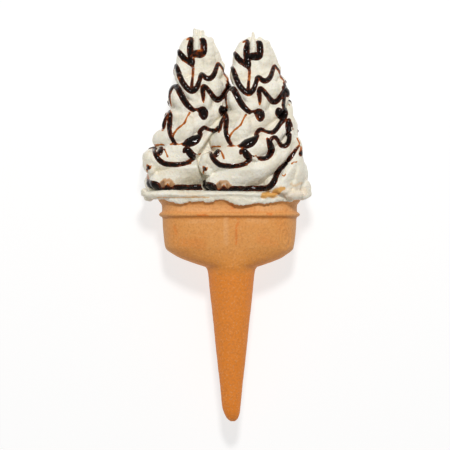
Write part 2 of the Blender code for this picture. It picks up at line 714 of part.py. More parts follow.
def keep_largest_piece(mesh):
    """Drops loose scraps that a cut may leave."""
    bm = bmesh.new()
    bm.from_mesh(mesh)
    bmesh.ops.remove_doubles(bm, verts=bm.verts, dist=WELD_DISTANCE)
    waiting = set(bm.verts)
    islands = []
    while waiting:
        island = set()
        edge = [waiting.pop()]
        while edge:
            vert = edge.pop()
            island.add(vert)
            for near in (e.other_vert(vert) for e in vert.link_edges):
                if near in waiting:
                    waiting.remove(near)
                    edge.append(near)
        islands.append(island)
    islands.sort(key=len)
    for island in islands[:-1]:
        bmesh.ops.delete(bm, geom=list(island), context="VERTS")
    bm.to_mesh(mesh)
    bm.free()


def boolean(obj, operation, collection):
    cut = obj.modifiers.new(operation.lower(), "BOOLEAN")
    cut.operation = operation
    cut.operand_type = "COLLECTION"
    cut.collection = collection
    cut.solver = "MANIFOLD"


def make_ice_cream(collection):
    """Both swirls, the slab and the sauce on them, fused into one solid."""
    pieces = make_collection("ice_cream_pieces")
    cutters = make_collection("cutters")
    swirls = {name: make_swirl(f"swirl_{name}", swirl, pieces) for name, swirl in SWIRLS.items()}
    for name, swirl in SWIRLS.items():
        make_sauce(name, swirl, surface_tree(swirls[name]), pieces)
    for cutter in (make_wafer_clearance(cutters), make_floor_cutter(cutters)):
        cutter.hide_render = True
        cutter.display_type = "WIRE"
    body = make_slab(collection)
    boolean(body, "UNION", pieces)
    boolean(body, "DIFFERENCE", cutters)
    mesh = evaluated_mesh(body)
    body.modifiers.clear()
    keep_largest_piece(mesh)
    body.data = mesh
    body.name = "ice_cream"
    for group in (pieces, cutters):
        for obj in list(group.objects):
            bpy.data.objects.remove(obj, do_unlink=True)
        bpy.data.collections.remove(group)
    return body


def to_metres_and_origin(objects):
    """Scales the meshes to metres and moves them so that the origin is under their middle."""
    corners = [vert.co for obj in objects for vert in obj.data.vertices]
    middle_x = 0.5 * (min(c.x for c in corners) + max(c.x for c in corners))
    middle_y = 0.5 * (min(c.y for c in corners) + max(c.y for c in corners))
    bottom = min(c.z for c in corners)
    place = Matrix.Scale(METRES_PER_MM, 4) @ Matrix.Translation((-middle_x, -middle_y, -bottom))
    for obj in objects:
        obj.data.transform(place)


def main():
    clear_scene()
    collection = make_collection(PART_NAME)
    wafer = make_wafer(collection)
    cream = make_ice_cream(collection)
    to_metres_and_origin((wafer, cream))
    for obj, look in ((wafer, WAFER_LOOK), (cream, CREAM_LOOK)):
        obj.data.materials.clear()
        obj.data.materials.append(make_material(obj.name, look))
        obj.data.shade_smooth()
        obj.data.set_sharp_from_angle(angle=SHARP_ANGLE)


main()
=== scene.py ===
"""Looks of a twin ice cream cone that lies on its back, seen from straight above.

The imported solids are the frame. The wafer and the cream are made again here with a finer
surface, from nearly the same sizes, and the sauce is laid on the cream as its own pieces.
Lengths are millimetres from the middle of the wafer's rim, with Y up the swirls and Z up
from the floor, until a mesh is placed in the frame, where they become metres.
"""

import math

import bmesh
import bpy
import numpy as np
from mathutils import Matrix, Vector
from mathutils.bvhtree import BVHTree


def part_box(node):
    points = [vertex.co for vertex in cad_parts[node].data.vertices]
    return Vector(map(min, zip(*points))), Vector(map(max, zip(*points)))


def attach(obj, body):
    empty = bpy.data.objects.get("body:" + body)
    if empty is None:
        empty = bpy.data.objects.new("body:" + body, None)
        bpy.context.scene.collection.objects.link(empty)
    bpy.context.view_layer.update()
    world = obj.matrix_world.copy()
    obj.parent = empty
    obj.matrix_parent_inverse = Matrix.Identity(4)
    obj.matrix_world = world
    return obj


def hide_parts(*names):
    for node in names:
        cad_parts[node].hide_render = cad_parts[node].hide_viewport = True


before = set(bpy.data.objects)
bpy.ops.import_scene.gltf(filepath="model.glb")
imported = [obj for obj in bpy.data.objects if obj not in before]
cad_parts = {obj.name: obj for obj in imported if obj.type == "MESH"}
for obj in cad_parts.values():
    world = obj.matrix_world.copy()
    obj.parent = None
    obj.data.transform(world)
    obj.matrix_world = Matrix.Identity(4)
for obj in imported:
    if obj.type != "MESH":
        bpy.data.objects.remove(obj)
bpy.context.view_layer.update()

METRES_PER_MM = 0.001
BODY = "root"

# The photograph: its size, the millimetres a pixel stands for and the pixel at the rim's middle
PHOTO_SIZE = 450
MM_PER_PIXEL = 0.65
RIM_PIXEL = (229.5, 198.0)

# Camera straight above, in metres, and its sensor in millimetres
CAMERA_DISTANCE = 4.0
CAMERA_FOCUS_Z = 0.043
CAMERA_SEES = 50.0
SENSOR = 36.0

# Key light, in metres and watts, the sky's colour and strength, and the pale floor
KEY_SPOT = (0.04, 0.60, 1.18)
KEY_SIZE = 0.17
KEY_POWER = 10.2
SKY_COLOUR = (1.0, 0.97, 0.93, 1.0)
SKY_STRENGTH = 0.32
FLOOR_HALF_SIZE = 8.0
FLOOR_GREY = (0.36, 0.36, 0.36, 1.0)
FLOOR_GLOW = 0.70

# Colours as sRGB values from 0 to 255
CREAM = (246, 242, 228)
CREAM_PATCH = (240, 233, 214)
CREAM_SPECK = (222, 202, 166)
STAIN = (206, 158, 112)
STAIN_DEEP = (140, 104, 74)
TAN = (234, 176, 98)
WAFER_MOTTLE = (232, 140, 56)
# Painted shade: greyer colour for the wafer's rounded ends, where they turn away from the light
WAFER_SIDE_SHADE = (206, 160, 116)
WAFER_PAINTED_LIGHT = (244, 184, 124)
WAFER_BROWNED = (232, 126, 42)
WAFER_DARK_SPECK = (190, 120, 66)
# Painted light: paler colour laid where the wafer would be in shade
WAFER_LIGHT_SPECK = (250, 196, 136)
# Sauce by its depth in millimetres
SAUCE_COLOURS = (
    (0.0, (202, 124, 54)), (0.13, (184, 102, 38)), (0.22, (104, 46, 22)), (0.38, (56, 25, 15)),
    (0.62, (18, 12, 10)),
)
# Wafer by its share of the way from the rim to the tip; the narrow dark stop just under the bead is
# painted shade
WAFER_COLOURS = (
    (0.0, (233, 168, 100)), (0.05, (236, 170, 104)), (0.075, (232, 163, 92)), (0.086, (226, 150, 76)),
    (0.089, (206, 128, 58)), (0.095, (234, 162, 88)), (0.22, (234, 162, 88)), (0.30, (234, 152, 68)),
    (0.36, (238, 142, 50)), (1.0, (240, 139, 45)),
)
# Painted shade: how far from the middle, in metres, the wafer starts to look greyer towards its rounded
# ends and has done so
WAFER_SIDE_SHADE_SPAN = (0.034, 0.047)

# Wafer
WAFER_LENGTH = 145.6
WAFER_AXIS_Z = 27.0
RIM_HALF_WIDTH = 46.8
CUP_WIDTH_OVER_DEPTH = 21.8
STEM_SHIFT = 1.2
STEM_TOP_DEPTH = 45.5
STEM_TOP_RADIUS = 15.6
STEM_TAPER = 0.1067
STEM_TIP_SHIFT = 0.9
# Depths of the stem's rows, its rounded tip as depth and radius, and where the cups' wall ends
STEM_DEPTHS = (49, 62, 80, 98, 116, 128, 136.4)
STEM_TIP = ((141.0, 4.8), (144.0, 3.3), (WAFER_LENGTH, 1.4))
WALL_BOTTOM = 31.4
CUP_SQUARENESS = 2.6
WAIST_DEPTH = 1.6
WAIST_X = 4.6
WAIST_HALF_WIDTH = 7.0
WAFER_SIDES = 360
WAFER_RING_STEP = 0.9
# Its uneven skin, and fine ribs round it: height, lump size, seed and squeeze along each axis
EVEN = (1.0, 1.0, 1.0)
WAFER_LUMPS = ((0.10, 11.0, 5, EVEN), (0.05, 3.0, 6, EVEN), (0.06, 1.3, 7, (0.2, 1.0, 0.2)))

# Depth below the rim and half width: flared rim, neck, bead, wall and rounded underside
CUP_PROFILE = (
    (0, RIM_HALF_WIDTH), (1.6, 46.3), (3.4, 45), (4.8, 44.2), (8.7, 44.1), (9.5, 45.2),
    (10.8, 46), (12, 45.2), (12.9, 43.9), (20, 43.4), (27, 42.7), (31.4, 42),
    (33.2, 41.4), (34.8, 39.8),
    (37.4, 36), (39.6, 32), (41.6, 26.8), (43.4, 21.6), (44.6, 17.8), (STEM_TOP_DEPTH, 16.4),
)
# Browner marks on the wafer: routes of x, y and width from the rim's middle, and strength
BROWNED = (
    (((-21, -10.9, 1), (-17, -11.3, 1.6), (-13.4, -11.4, 1)), 0.9),
    (((24.4, -10.4, 1.4), (26.4, -10.6, 2.2), (28, -10.6, 1.4)), 0.75),
    (((-36, -17.6, 1.6), (-35.2, -20.4, 2.4), (-34.6, -23.4, 1.4)), 0.45),
    (((5.2, -12.6, 1), (5.2, -16, 1.2), (4.6, -22, 1.2), (4.4, -30, 0.8)), 0.8),
    (((1.2, -4.2, 2.2), (2.2, -6.2, 2), (2.8, -8, 1)), 0.7),
    (((-30, -28, 5), (-18, -31, 7)), 0.22),
    (((20, -27, 6), (30, -30, 5)), 0.22),
)
# Paler patches of painted light where the wafer falls in shade: the neck under the lip, the wall just
# under the bead and a strip beside the waist, in the same terms
PAINTED_LIGHT_MARKS = (
    (((-32, -7, 3), (-14, -7.6, 3.6)), 0.55),
    (((18, -7, 3), (33, -6.4, 3)), 0.55),
    (((-2.2, -13.8, 3.2), (-2.4, -22, 3.4), (-2.4, -30, 2)), 0.6),
    (((12, -14.8, 3), (24, -15.2, 3)), 0.35),
    (((-26, -15.2, 2.6), (-10, -15, 2.6)), 0.35),
)
# Moulded rings on the wall: their middle, how much taller than wide, spacing, height, reach, and
# the share of that reach where they start to fade
RINGS_AT = (36.0, -24.7)
RINGS_TALL = 2.2
RINGS_SPACING = 1.9
RINGS_HEIGHT = 0.27
RINGS_REACH = 6.5
RINGS_FULL = 0.6
# Height above the wafer's middle where rings, marks and tints are in full
RINGS_RISE = 4.0
MARKS_RISE = 5.0
TAN_RISE = 8.0

# Slab of cream across both cups, and the ragged lip that hangs over the rim in front
SLAB_THICKNESS = 6.5
SLAB_CENTRE_X = -2.6
SLAB_HALF_WIDTH = 55.4
SLAB_AXIS_Z = 26.0
SLAB_HALF_DEPTH = 29.0
SLAB_SQUARENESS = 2.7
SLAB_SIDES = 144
# Height above the rim and share of the full half width there: a rounded edge
SLAB_ROWS = (
    (-0.6, 0.90), (0.2, 0.955), (1.2, 0.985), (2.1, 1), (3.1, 0.99), (3.9, 0.965), (4.5, 0.91),
)
# Waves in its outline and height: share or size, waves round it and phase
SLAB_EDGE_WAVES = ((0.010, 5.0, 0.6), (0.007, 11.0, 0.0))
SLAB_SAG = 0.35
SLAB_SAG_WAVES = 9
# Crumbs, in patches that fade between two values, and folds that grow between two x
CRUMBS = ((0.50, 1.5, 47, EVEN),)
CRUMB_PATCHES = ((1.0, 9.0, 46, EVEN),)
CRUMB_FADE = (-0.1, 0.5)
SLAB_FOLDS = ((0.55, 3.2, 48, (0.7, 1.0, 1.0)),)
SLAB_FOLDS_RISE = (10.0, 30.0)
SLAB_SEED = 40
# Rounded drops of cream at its left end: x, y and radius
LEFT_LUMPS = (
    (-54, 0, 2), (-51.8, -0.5, 1.9), (-50, 0.4, 1.6), (-55.3, 4.4, 2.4), (-53, 1.6, 2.2),
)
LEFT_LUMPS_Z = 34.0
LEFT_LUMPS_DEPTH = 2.2
LIP_THICKNESS = 1.5
LIP_START = math.radians(20)
LIP_END = math.radians(150)
LIP_STEPS = 260
LIP_SIDES = 20
LIP_TOP = 1.2
LIP_FACING = 0.55
LIP_PROUD = 0.2
# The lip thins out over this many steps at each end, to this share
LIP_END_STEPS = 12
LIP_END_SHARE = 0.35
LIP_WAVES = ((0.22, 2.3, 0.4), (0.14, 4.1, 0.0))
# Ragged lower edge of the lip: x and how far it hangs below the rim
LIP_EDGE = (
    (-44, 1.6), (-41.6, 2.3), (-37.4, 2.7), (-35, 3.6), (-31.2, 4.3), (-28.4, 3.4), (-26.5, 2.5),
    (-22.4, 2.9), (-17, 2), (-15.1, 3.6), (-12.4, 3), (-10.1, 2.3), (-9, 1.2), (-2.9, 1.5),
    (0.3, 3.4), (3.5, 4.8), (6.6, 5.2), (10.1, 5.2), (13.2, 4.6), (18.1, 3.6), (24.8, 4.2),
    (30.1, 2.5), (36.7, 2.2), (40, 2.5), (42.1, 1), (46.7, 1.9), (48, 0.6),
)

# One piped swirl, in its own frame: x from its axis, y up from the slab
# At the left end of each turn: the coil's height and half thickness, its rise to the right and
# its dip in front. Then how far the cream reaches to the left and right at a height
COIL_HEIGHTS = (8.5, 19, 31, 43, 57, 74, 88)
COIL_THICKNESS = (8.2, 8.6, 8.0, 6.6, 6.0, 5.2, 4.4)
COIL_RISE = (26, 28, 28, 25, 16, 8, 5)
COIL_DIP = (14.5, 11, 7, 4.5, 3, 2, 1)
COIL_TURNS = 5.2
LEFT_REACH = (
    (-8, 33), (6.5, 33.6), (12, 35.8), (20, 37), (31, 30.2), (43, 22), (57, 19.6),
    (74, 15.8), (88, 13), (97, 6),
)
RIGHT_REACH = (
    (-8, 35.4), (10, 34.6), (22, 33.7), (33, 31.2), (47, 27.6), (62, 23.9), (76, 18.2),
    (84, 16.4), (93, 12.6), (97.6, 5.5),
)
COIL_TOP = 94.0
COIL_OVERLAP = 0.57
COIL_NOSE_STEPS = 8
COIL_NOSE_START = 0.3
COIL_LEAST_RADIUS = 1.0
COIL_LOOK_AHEAD = 0.01
# Lumps along the coil: share of its size, and waves per turn in radians
COIL_LUMPS = ((0.07, 11.86), (0.05, 11.0))
SWIRL_SQUARENESS = 2.5
COIL_STEPS_PER_TURN = 72
COIL_SIDES = 24
# Cream inside the coils, as far inside their outer edge as this share of their thickness
CORE_BOTTOM = -4.0
CORE_TOP = 90.0
CORE_INSET = 0.9
CORE_LEAST_RADIUS = 1.5
CORE_LEVELS = 28
CORE_SIDES = 48
# Ring of lumps under the first coil, from its right end round the front to its left
FOOT_LUMPS = 22
FOOT_START = math.radians(62)
FOOT_SWEEP = math.radians(244)
FOOT_HEIGHT = 6.0
FOOT_RISE = 9.0
FOOT_THICKNESS = 9.0
FOOT_SINK = 4.0
FOOT_PROUD = 1.0
FOOT_UNEVEN = 0.12
FOOT_UNEVEN_TURN = 2.3

# Folds that stand proud of the coils: x, y, half width, half height, thickness and tilt in degrees
FOLDS = (
    (-8.5, 37, 6.2, 9.5, 4, -18),
    (-13, 56.5, 4.6, 7.2, 4, 12),
    (-7, 63, 3.8, 12, 3.6, 38),
    (11.5, 63.5, 6.2, 7.2, 4, -20),
    (7, 54.5, 3, 6.5, 3.2, -6),
    (29, 11.5, 5.6, 15, 4.6, 0),
    (28.6, 25.5, 4.8, 9.5, 4.6, 9),
    (24.8, 42, 3.6, 9, 3.6, 14),
    (-33.4, 15.6, 3.6, 7.4, 5, 0),
    (22.5, 7, 4.6, 12, 3.6, -30),
    (34.2, -0.3, 6.4, 7.4, 6.6, 0),
)
# Smaller folds and curls, in the same terms
FINE_FOLDS = (
    (-23.3, 1, 1.9, 2.8, 2.4, 0),
    (-16.4, 1.2, 1.6, 2.6, 2.2, 0),
    (-1.5, 20.6, 2, 1.5, 2.2, 0),
    (0.5, 18.6, 2.4, 1.2, 2, -30),
    (-30.6, 12, 2.6, 4, 3, -10),
    (-25.5, 2, 2.2, 1.6, 2.4, 0),
    (24.5, 31, 2.4, 6.5, 2, -14),
    (26.5, 17, 2.6, 7, 3.2, -26),
    (27, 2, 3, 4, 3, 20),
    (21, -1.5, 4, 2.6, 3, 0),
    (27.5, -4.2, 7, 3.4, 4.6, 0),
    (34, -4.6, 5, 3, 5, 0),
    (36, -4, 3, 2.6, 4, 0),
    (31.4, 12, 2.4, 12, 3.4, 3),
    (-20.4, 41, 3.4, 7, 5, -14),
)
# Soft ridges, above zero, and hollows, below zero: x, y, half width, half height, tilt and height
RELIEF = (
    (-7, 12.6, 13, 2.6, 2, 1.5),
    (-3, 0, 14, 6.4, 2, -3.5),
    (-29.4, 8.4, 3.8, 3.8, 0, 1.8),
    (11.4, 47, 3.4, 8, 0, -2.6),
    (-13, 48.4, 5, 1.5, 4, -1.3),
    (-13, 56, 4, 4.6, 0, 1),
    (-1.4, 20.2, 2.4, 1.3, -14, 1),
    (15.2, 24, 1.8, 5, -12, 1.2),
    (7.2, 55, 1.8, 5, 0, 1),
    (14, 84.2, 0.9, 9, 18.5, -1.3),
    (17.4, 80, 2.6, 9, 16, -0.8),
    (0.5, 89, 2.6, 5, 0, 0.8),
    (21.5, 9, 1.6, 9, -32, 0.8),
    (25, 7, 1.4, 9, -27, -0.9),
    (28.6, 10, 1.6, 11, -12, 0.7),
    (-31, 20, 4.5, 7, 0, 4),
    (-17, 21, 8, 3.6, 0, -1.4),
    (-13.6, 74, 3.4, 7, 15, 2.6),
    (-17.6, 58, 3.4, 8, -5, 3.2),
    (18.6, 49, 3.6, 7, 0, 3.2),
    (23.2, 36, 3.4, 9, 0, 3.2),
    (-30.4, 2.4, 3.6, 5, 0, 3),
    (-12, 86, 2.4, 5, 30, 1.6),
)
# What the flatter left swirl needs besides
LEFT_RELIEF = (
    (-4, 12.2, 15, 2.8, 1, 1.6),
    (-2, 0, 16, 6.6, 0, -2.6),
)
# Height over a swirl's axis where the relief, and the stains, start and are in full
RELIEF_RISE = (2.0, 8.0)
STAIN_RISE = (0.0, 6.0)
# Fine ripples across the lobes: x, y, half width and half height
RIPPLED = ((9.5, 82, 5, 11), (12, 65, 6.5, 6), (6, 70, 5, 6))
RIPPLES = ((0.44, 1.7, 5, (0.6, 1.5, 0.3)),)
# Upright lobes of the last pull of the nozzle: x, y, z of the middle, then half sizes and tilt
TOP_LOBES = (
    (-8.7, 86, 3.5, 4.6, 11, 6.4, -14),
    (-0.6, 90, 8.4, 2.3, 8, 4.4, 0),
    (6, 82.5, 5.6, 6, 15.5, 6.6, 6),
    (12.2, 79.5, 1, 3.9, 13.5, 6.4, 12),
    (-6, 82, -5.8, 6, 14, 6.2, -8),
    (5.4, 82, -6.6, 6.2, 14.5, 6, 8),
    (8, 93.2, 1, 3, 3.8, 4.4, 0),
    (10.6, 87.6, 1, 2.6, 6, 4, 10),
    (-5, 93.6, 1, 2.4, 3.6, 4, 0),
)
# How far a fold turns to face outwards, how deep it is set in, as a share of its thickness, and
# how far out it may lie, as a share of the cream's reach
FOLD_FACING = 0.8
FOLD_SINK = 0.55
FOLD_OUTMOST = 0.98
# The last pull: a thin point as height and radius with lumps beside it, or short ridges
TIP_Z = 0.5
SPIKE_SIDES = 16
POINT_X = -0.4
POINT_PROFILE = ((88.0, 3.0), (95.0, 2.2), (97.5, 1.4), (102.2, 0.9))
POINT_LUMPS = ((-3.0, 96.0), (4.0, 96.4))
POINT_LUMP_SIZES = (1.9, 2.6, 2.2)
RIDGE_TOPS = ((-2.0, 102.7), (0.7, 102.2), (3.4, 101.6))
RIDGE_HALF_WIDTH = 1.05
RIDGE_HALF_DEPTH = 3.0
# Height of a ridge's foot and, above that, how far below its top, each with its share of the size
RIDGE_FOOT = (88.0, 0.9)
RIDGE_ROWS = ((3.0, 1.0), (1.0, 0.9), (0.3, 0.7), (0.0, 0.4))

# The two swirls: axis X, base Y above the slab, stretch along Y, axis Z and depth limit,
# then the kind of tip, the side whose flank shows and the seed of its unevenness
SWIRLS = {
    "left": {"x": -20.8, "base": 1.0, "stretch": 1.01, "z": 20.0, "depth": 24.0,
             "tip": "ridged", "flank": -1, "seed": 0},
    "right": {"x": 15.9, "base": 0.0, "stretch": 1.0, "z": 27.2, "depth": 39.0,
              "tip": "pointed", "flank": 1, "seed": 10},
}

# Crevice in the left swirl beside the right one: its width, how far it goes in behind that, its
# lowest point and its height over the right's axis
CREVICE_WIDTH = 1.0
CREVICE_INSIDE = 0.5
CREVICE_BOTTOM = -2.0
CREVICE_Z = 8.0

# Fineness of the lumps that a swirl is joined from, and of the cream's skin
ELLIPSOID_SIDES = 32
ELLIPSOID_ROWS = 24
VOXEL = 0.72
SMOOTHING = 0.5
SMOOTHING_STEPS = 2
# Unevenness of the cream, smallest last: height, lump size, seed and squeeze along each axis
CREAM_LUMPS = ((0.40, 9.0, 0, EVEN), (0.17, 3.6, 1, EVEN), (0.19, 1.6, 2, EVEN))
# Random values that lumps are read from, and the keys that spread them over space
LUMP_VALUES = 4096
LUMP_KEYS = (73856093, 19349663, 83492791)

# Sauce on a swirl: each strand or pool is a route of x, y and width there
SAUCE = (
    ((-6.8, 95.2, 1.2), (-4.6, 96, 2), (-4.2, 94, 2.8), (-4.9, 89.5, 3.4), (-4.5, 84.5, 3.2),
     (-3.8, 80.6, 3.4), (-3.6, 78.6, 2.4)),
    ((2.6, 95, 2.2), (3.8, 93.8, 3.2), (4.1, 90, 3.5), (3.9, 86.8, 3.4), (2.2, 85.7, 4.2),
     (-0.8, 85.7, 4), (-3.5, 84.9, 3)),
    ((-13, 88.2, 2.2), (-11.6, 86, 3), (-8.2, 82.2, 3.1), (-5.6, 80.2, 2.8), (-3.8, 79.4, 2.6)),
    ((-3.5, 79, 1.6), (-2.9, 76.4, 1.5), (-3, 73, 1.5), (-3.4, 69, 1.6), (-3.8, 63.8, 1.9)),
    ((-14.8, 78.8, 2), (-13.8, 77, 2.7), (-11.6, 71.5, 3), (-10, 67.6, 3), (-7, 63.6, 3.1),
     (-3.6, 61.6, 3.3), (-0.8, 63.4, 2.8), (1.2, 68, 2.4), (2.4, 72.4, 2.4), (3.8, 72, 2.2),
     (5.6, 70, 2.8), (8.4, 69.8, 3), (10.8, 72.6, 2.6), (12.2, 76.4, 2.3), (13.6, 79.4, 1.9),
     (16.4, 76.2, 1.7), (17.6, 72.6, 1.5), (19.8, 69.6, 1.2), (20.2, 67.4, 1.2)),
    ((19.6, 68.6, 1.4), (20.4, 65.4, 2.6), (18.2, 61.6, 3), (15.8, 57.4, 2.8), (13.2, 56, 3.2),
     (10.6, 57.4, 3), (8.2, 60.6, 2.6), (5.8, 63.6, 2.4), (4, 64.4, 2.6), (3.4, 61.8, 2.6),
     (3.7, 58.4, 2.2), (3.8, 55.8, 1.7), (3.9, 54, 0.8)),
    ((19.8, 65, 3.2), (21.6, 62.6, 3.4), (21.8, 60.4, 2.2)),
    ((20.2, 63.6, 2.4), (19.6, 57.8, 2), (19.2, 54, 2.2)),
    ((19.2, 53.6, 2.2), (19.9, 51.2, 2.9), (20.1, 48.8, 3.3), (19.6, 46.2, 3.2), (18.6, 43.8, 2.8),
     (16.9, 41.6, 2.6), (14.2, 37.9, 2.6), (11.7, 36, 2.5), (7.4, 36.8, 2), (4.4, 37.9, 2.3),
     (2.4, 36.6, 2.3), (1.2, 34.6, 2)),
    ((15.9, 50.6, 2.8), (16, 48.8, 3.8), (17.2, 46.8, 3.4), (18.6, 45.2, 2.8)),
    ((17, 50.2, 2.6), (17.9, 48.8, 3.6), (18.4, 47, 3.4)),
    ((2.2, 33.8, 2), (1, 32.2, 3), (-1.6, 30, 4.8), (-4.6, 28.6, 5), (-7.2, 27.6, 3.4),
     (-9.4, 26.9, 1.4)),
    ((-18.4, 48.8, 1.8), (-17.8, 45.4, 2.5), (-18.2, 40, 2.7), (-18.2, 35.6, 2.5), (-16.8, 31.4, 2.3),
     (-14.6, 27.6, 1.8)),
    ((-17.4, 52.4, 1.2), (-18.3, 56.4, 1.8), (-18.2, 60.6, 2.6), (-16.2, 64.6, 3.2), (-13.6, 64.4, 3.2),
     (-11, 59.8, 3.3), (-8, 54.4, 3.2), (-5, 51, 2.9), (-3, 49.4, 2.6)),
    ((-3.2, 49.2, 1.6), (0.6, 49.8, 1.5), (3.4, 49.8, 2)),
    ((1, 48.9, 2), (3.2, 48.7, 4.6), (3.9, 46.9, 5), (4.1, 45.2, 3.6)),
    ((-8.6, 22.6, 2), (-7.8, 23.7, 2.8), (-6.2, 23.4, 3.2), (-4.8, 21.4, 3.9), (-3.2, 19.4, 3.4),
     (-3.4, 17.6, 2.4), (-5.6, 16, 2.2)),
    ((-3.6, 21.6, 1.2), (-0.8, 20.6, 1), (1.4, 20.9, 0.8)),
    ((2.4, 19.4, 1.8), (4.6, 18.9, 2.5), (7.8, 19.4, 2.6), (10.2, 21.6, 3.2), (11.2, 25, 3.8),
     (10.2, 28.6, 3.2), (8.8, 31.6, 1.6)),
    ((10.6, 30.4, 1.8), (11.8, 32.2, 2.2), (14, 32.6, 2.2), (16, 30, 2.2), (18, 27.4, 2.6),
     (20.6, 27.6, 2.7), (22.4, 30.6, 2.8), (22.6, 35.6, 3), (22.2, 40.4, 3.2), (22.6, 43.8, 2.4)),
    ((22.6, 44, 1.2), (24.2, 41.6, 1.4), (25.4, 38.2, 0.7)),
    ((-22, 27, 0.9), (-25.4, 27, 1.1), (-27.8, 26.2, 1.4), (-28.4, 23.6, 1.8), (-26.4, 18.8, 2.5),
     (-22.4, 15.2, 2.8), (-17.6, 14.2, 2.7), (-11.4, 14.2, 2.4), (-7.2, 15, 2.4), (-4.6, 15, 1)),
    ((-23.8, 24.2, 2.6), (-24.4, 22.6, 3.2), (-24.6, 21, 2)),
    ((-7.2, 15.6, 1.6), (-4.2, 17.4, 1.6), (-3, 19.4, 1.6)),
    ((-32.8, 11, 0.9), (-33, 8.4, 1), (-32.7, 6.2, 1.4), (-32.2, 3.8, 2.4), (-31.2, 1.7, 4.2),
     (-29.2, 1, 4.6), (-26.8, 0.3, 4.4), (-25, -1, 2.8), (-22.6, -1.4, 1.7), (-19.6, -1.1, 2.2),
     (-17, -1.4, 1.7), (-15, -0.9, 2.6), (-13, -0.5, 3), (-2, -0.5, 3), (4, -0.4, 3), (9, 0.2, 3),
     (12.4, 3.4, 3.3), (14.6, 8.6, 3), (16.8, 12.9, 3.3), (20.4, 16, 3), (23.8, 20, 2.4),
     (27, 24.6, 1.9), (29.2, 27.4, 1.3)),
    ((-19.6, -0.8, 3), (-19.5, 0.6, 1.8), (-19.5, 1.9, 0.9)),
    ((-32.8, 13.6, 1.2), (-31.8, 12.2, 2.2), (-30.8, 12.5, 1.3), (-30.2, 13.4, 0.8)),
    ((30.6, 26.2, 1.2), (30.5, 24, 1.6), (30.4, 22.2, 2.7)),
    ((28, 32.2, 0.8), (28.8, 30.6, 1.1), (29.6, 29, 0.6)),
    ((-14.6, 27.6, 1.4), (-12, 27.2, 0.9), (-9.4, 27.6, 1.2)),
    ((-17.8, 27, 0.8), (-15.8, 27.4, 1.2), (-14, 27.2, 1)),
    ((-5.2, 47.6, 1.2), (-7.2, 44, 1.1), (-8.2, 41.4, 1.2), (-10.4, 39.2, 1.1), (-13.2, 37, 1.1),
     (-15, 34.6, 1.2), (-16.2, 32, 1.2)),
    ((-21.6, 24, 1.1), (-20.4, 21.6, 1), (-19.6, 19.2, 1.1)),
    ((-19, 48.6, 1.2), (-20.4, 45, 1.8), (-21.6, 41.8, 2.2), (-22.4, 38.6, 2.4), (-22.8, 36.6, 1.4)),
    ((24.6, 15.8, 0.8), (25.6, 16.8, 0.8), (27, 16.6, 0.7), (28.2, 17.4, 0.7)),
    ((17.8, 9, 0.6), (18.8, 7.9, 0.8), (19.8, 8, 0.8), (20.4, 8.9, 0.6)),
    ((22.9, 55.2, 0.7), (23.1, 53.8, 0.8)),
    ((8.2, 31.8, 0.7), (8.9, 31.6, 0.9)),
)
SAUCE_STEP = 0.4
# How much wider it spreads than its route, and the width from which it does so in full
SPREAD = 1.30
SPREAD_WIDTH = 1.5
# Its height as a share of its half width, and the half width where that share has halved
DOME = 0.60
DOME_WIDTH_LIMIT = 5.0
# Below this half width it lies lower, by this power
THIN_HALF_WIDTH = 1.3
THIN_FALL = 1.5
# How much a way up or down a slope counts as away from a strand
SLOPE_SHARE = 0.35
# How far out from a strand it is looked for, in millimetres and in half widths, and how low
SAUCE_SEARCH = 3.0
SAUCE_ACROSS = 4.0
SAUCE_LOWEST = -2.0
# How softly strands join, how deep the rim looks as a share of the top, and how far out it goes
SAUCE_BLEND = 0.12
RIM_SHARE = 0.42
RIM_ACROSS = 1.5
# How far past its edge the sauce's skin goes, and how deep the skin's edge and back are set in
SAUCE_REACH = 0.45
SAUCE_EDGE_SINK = 0.3
SAUCE_BACK_SINK = 0.55
SAUCE_LUMPS = ((0.09, 1.7, 71, EVEN),)
# Share of the sauce's small faces that is kept
SAUCE_KEPT = 0.6
# Farther than any strand, and a small value that stands in for zero
FAR = 1e6
TINY = 1e-6
# Strands that go on round a flank: side, start height, end height and width
FLANK_STRANDS = (
    (1, 69, 58, 3), (1, 59, 42, 3.2), (1, 37, 22, 2.8), (1, 27, 9, 3),
    (-1, 78, 66, 3), (-1, 54.5, 44, 3), (-1, 47, 33, 2.8), (-1, 25, 18, 3),
)
FLANK_START = math.radians(9)
FLANK_END = math.radians(-52)
FLANK_STEPS = 90
FLANK_WAVE = 2.2
FLANK_TAPER = 0.5
# Farther out than any surface of the cream, where a search for one starts, and how much higher
# the swirl in front has to be to cover the sauce
CLEAR_OF_ALL = 200.0
COVER_MARGIN = 0.2

# Sauce that has soaked into the cream: routes of x, y and width in a swirl's own frame, and strength
STAINS = (
    (((-22.7, -0.2, 4.6), (-22.6, 1.4, 5), (-22.4, 2.2, 4)), 0.95),
    (((-24.4, 1.8, 2), (-22.4, 3.5, 2.2), (-19.6, 4.2, 2.2), (-17, 3.4, 2.2), (-15.3, 1.4, 2)),
     0.42),
    (((-16.8, 2.2, 2.6), (-16.5, 1, 3.6), (-16.6, -0.2, 3.8)), 0.75),
    (((-22, 1.6, 4.4), (-19.6, 1.9, 4.8), (-17.2, 1.4, 4)), 0.30),
    (((2, 33.6, 2.6), (4.6, 32.4, 4.4), (6.6, 29.6, 4)), 0.12),
)
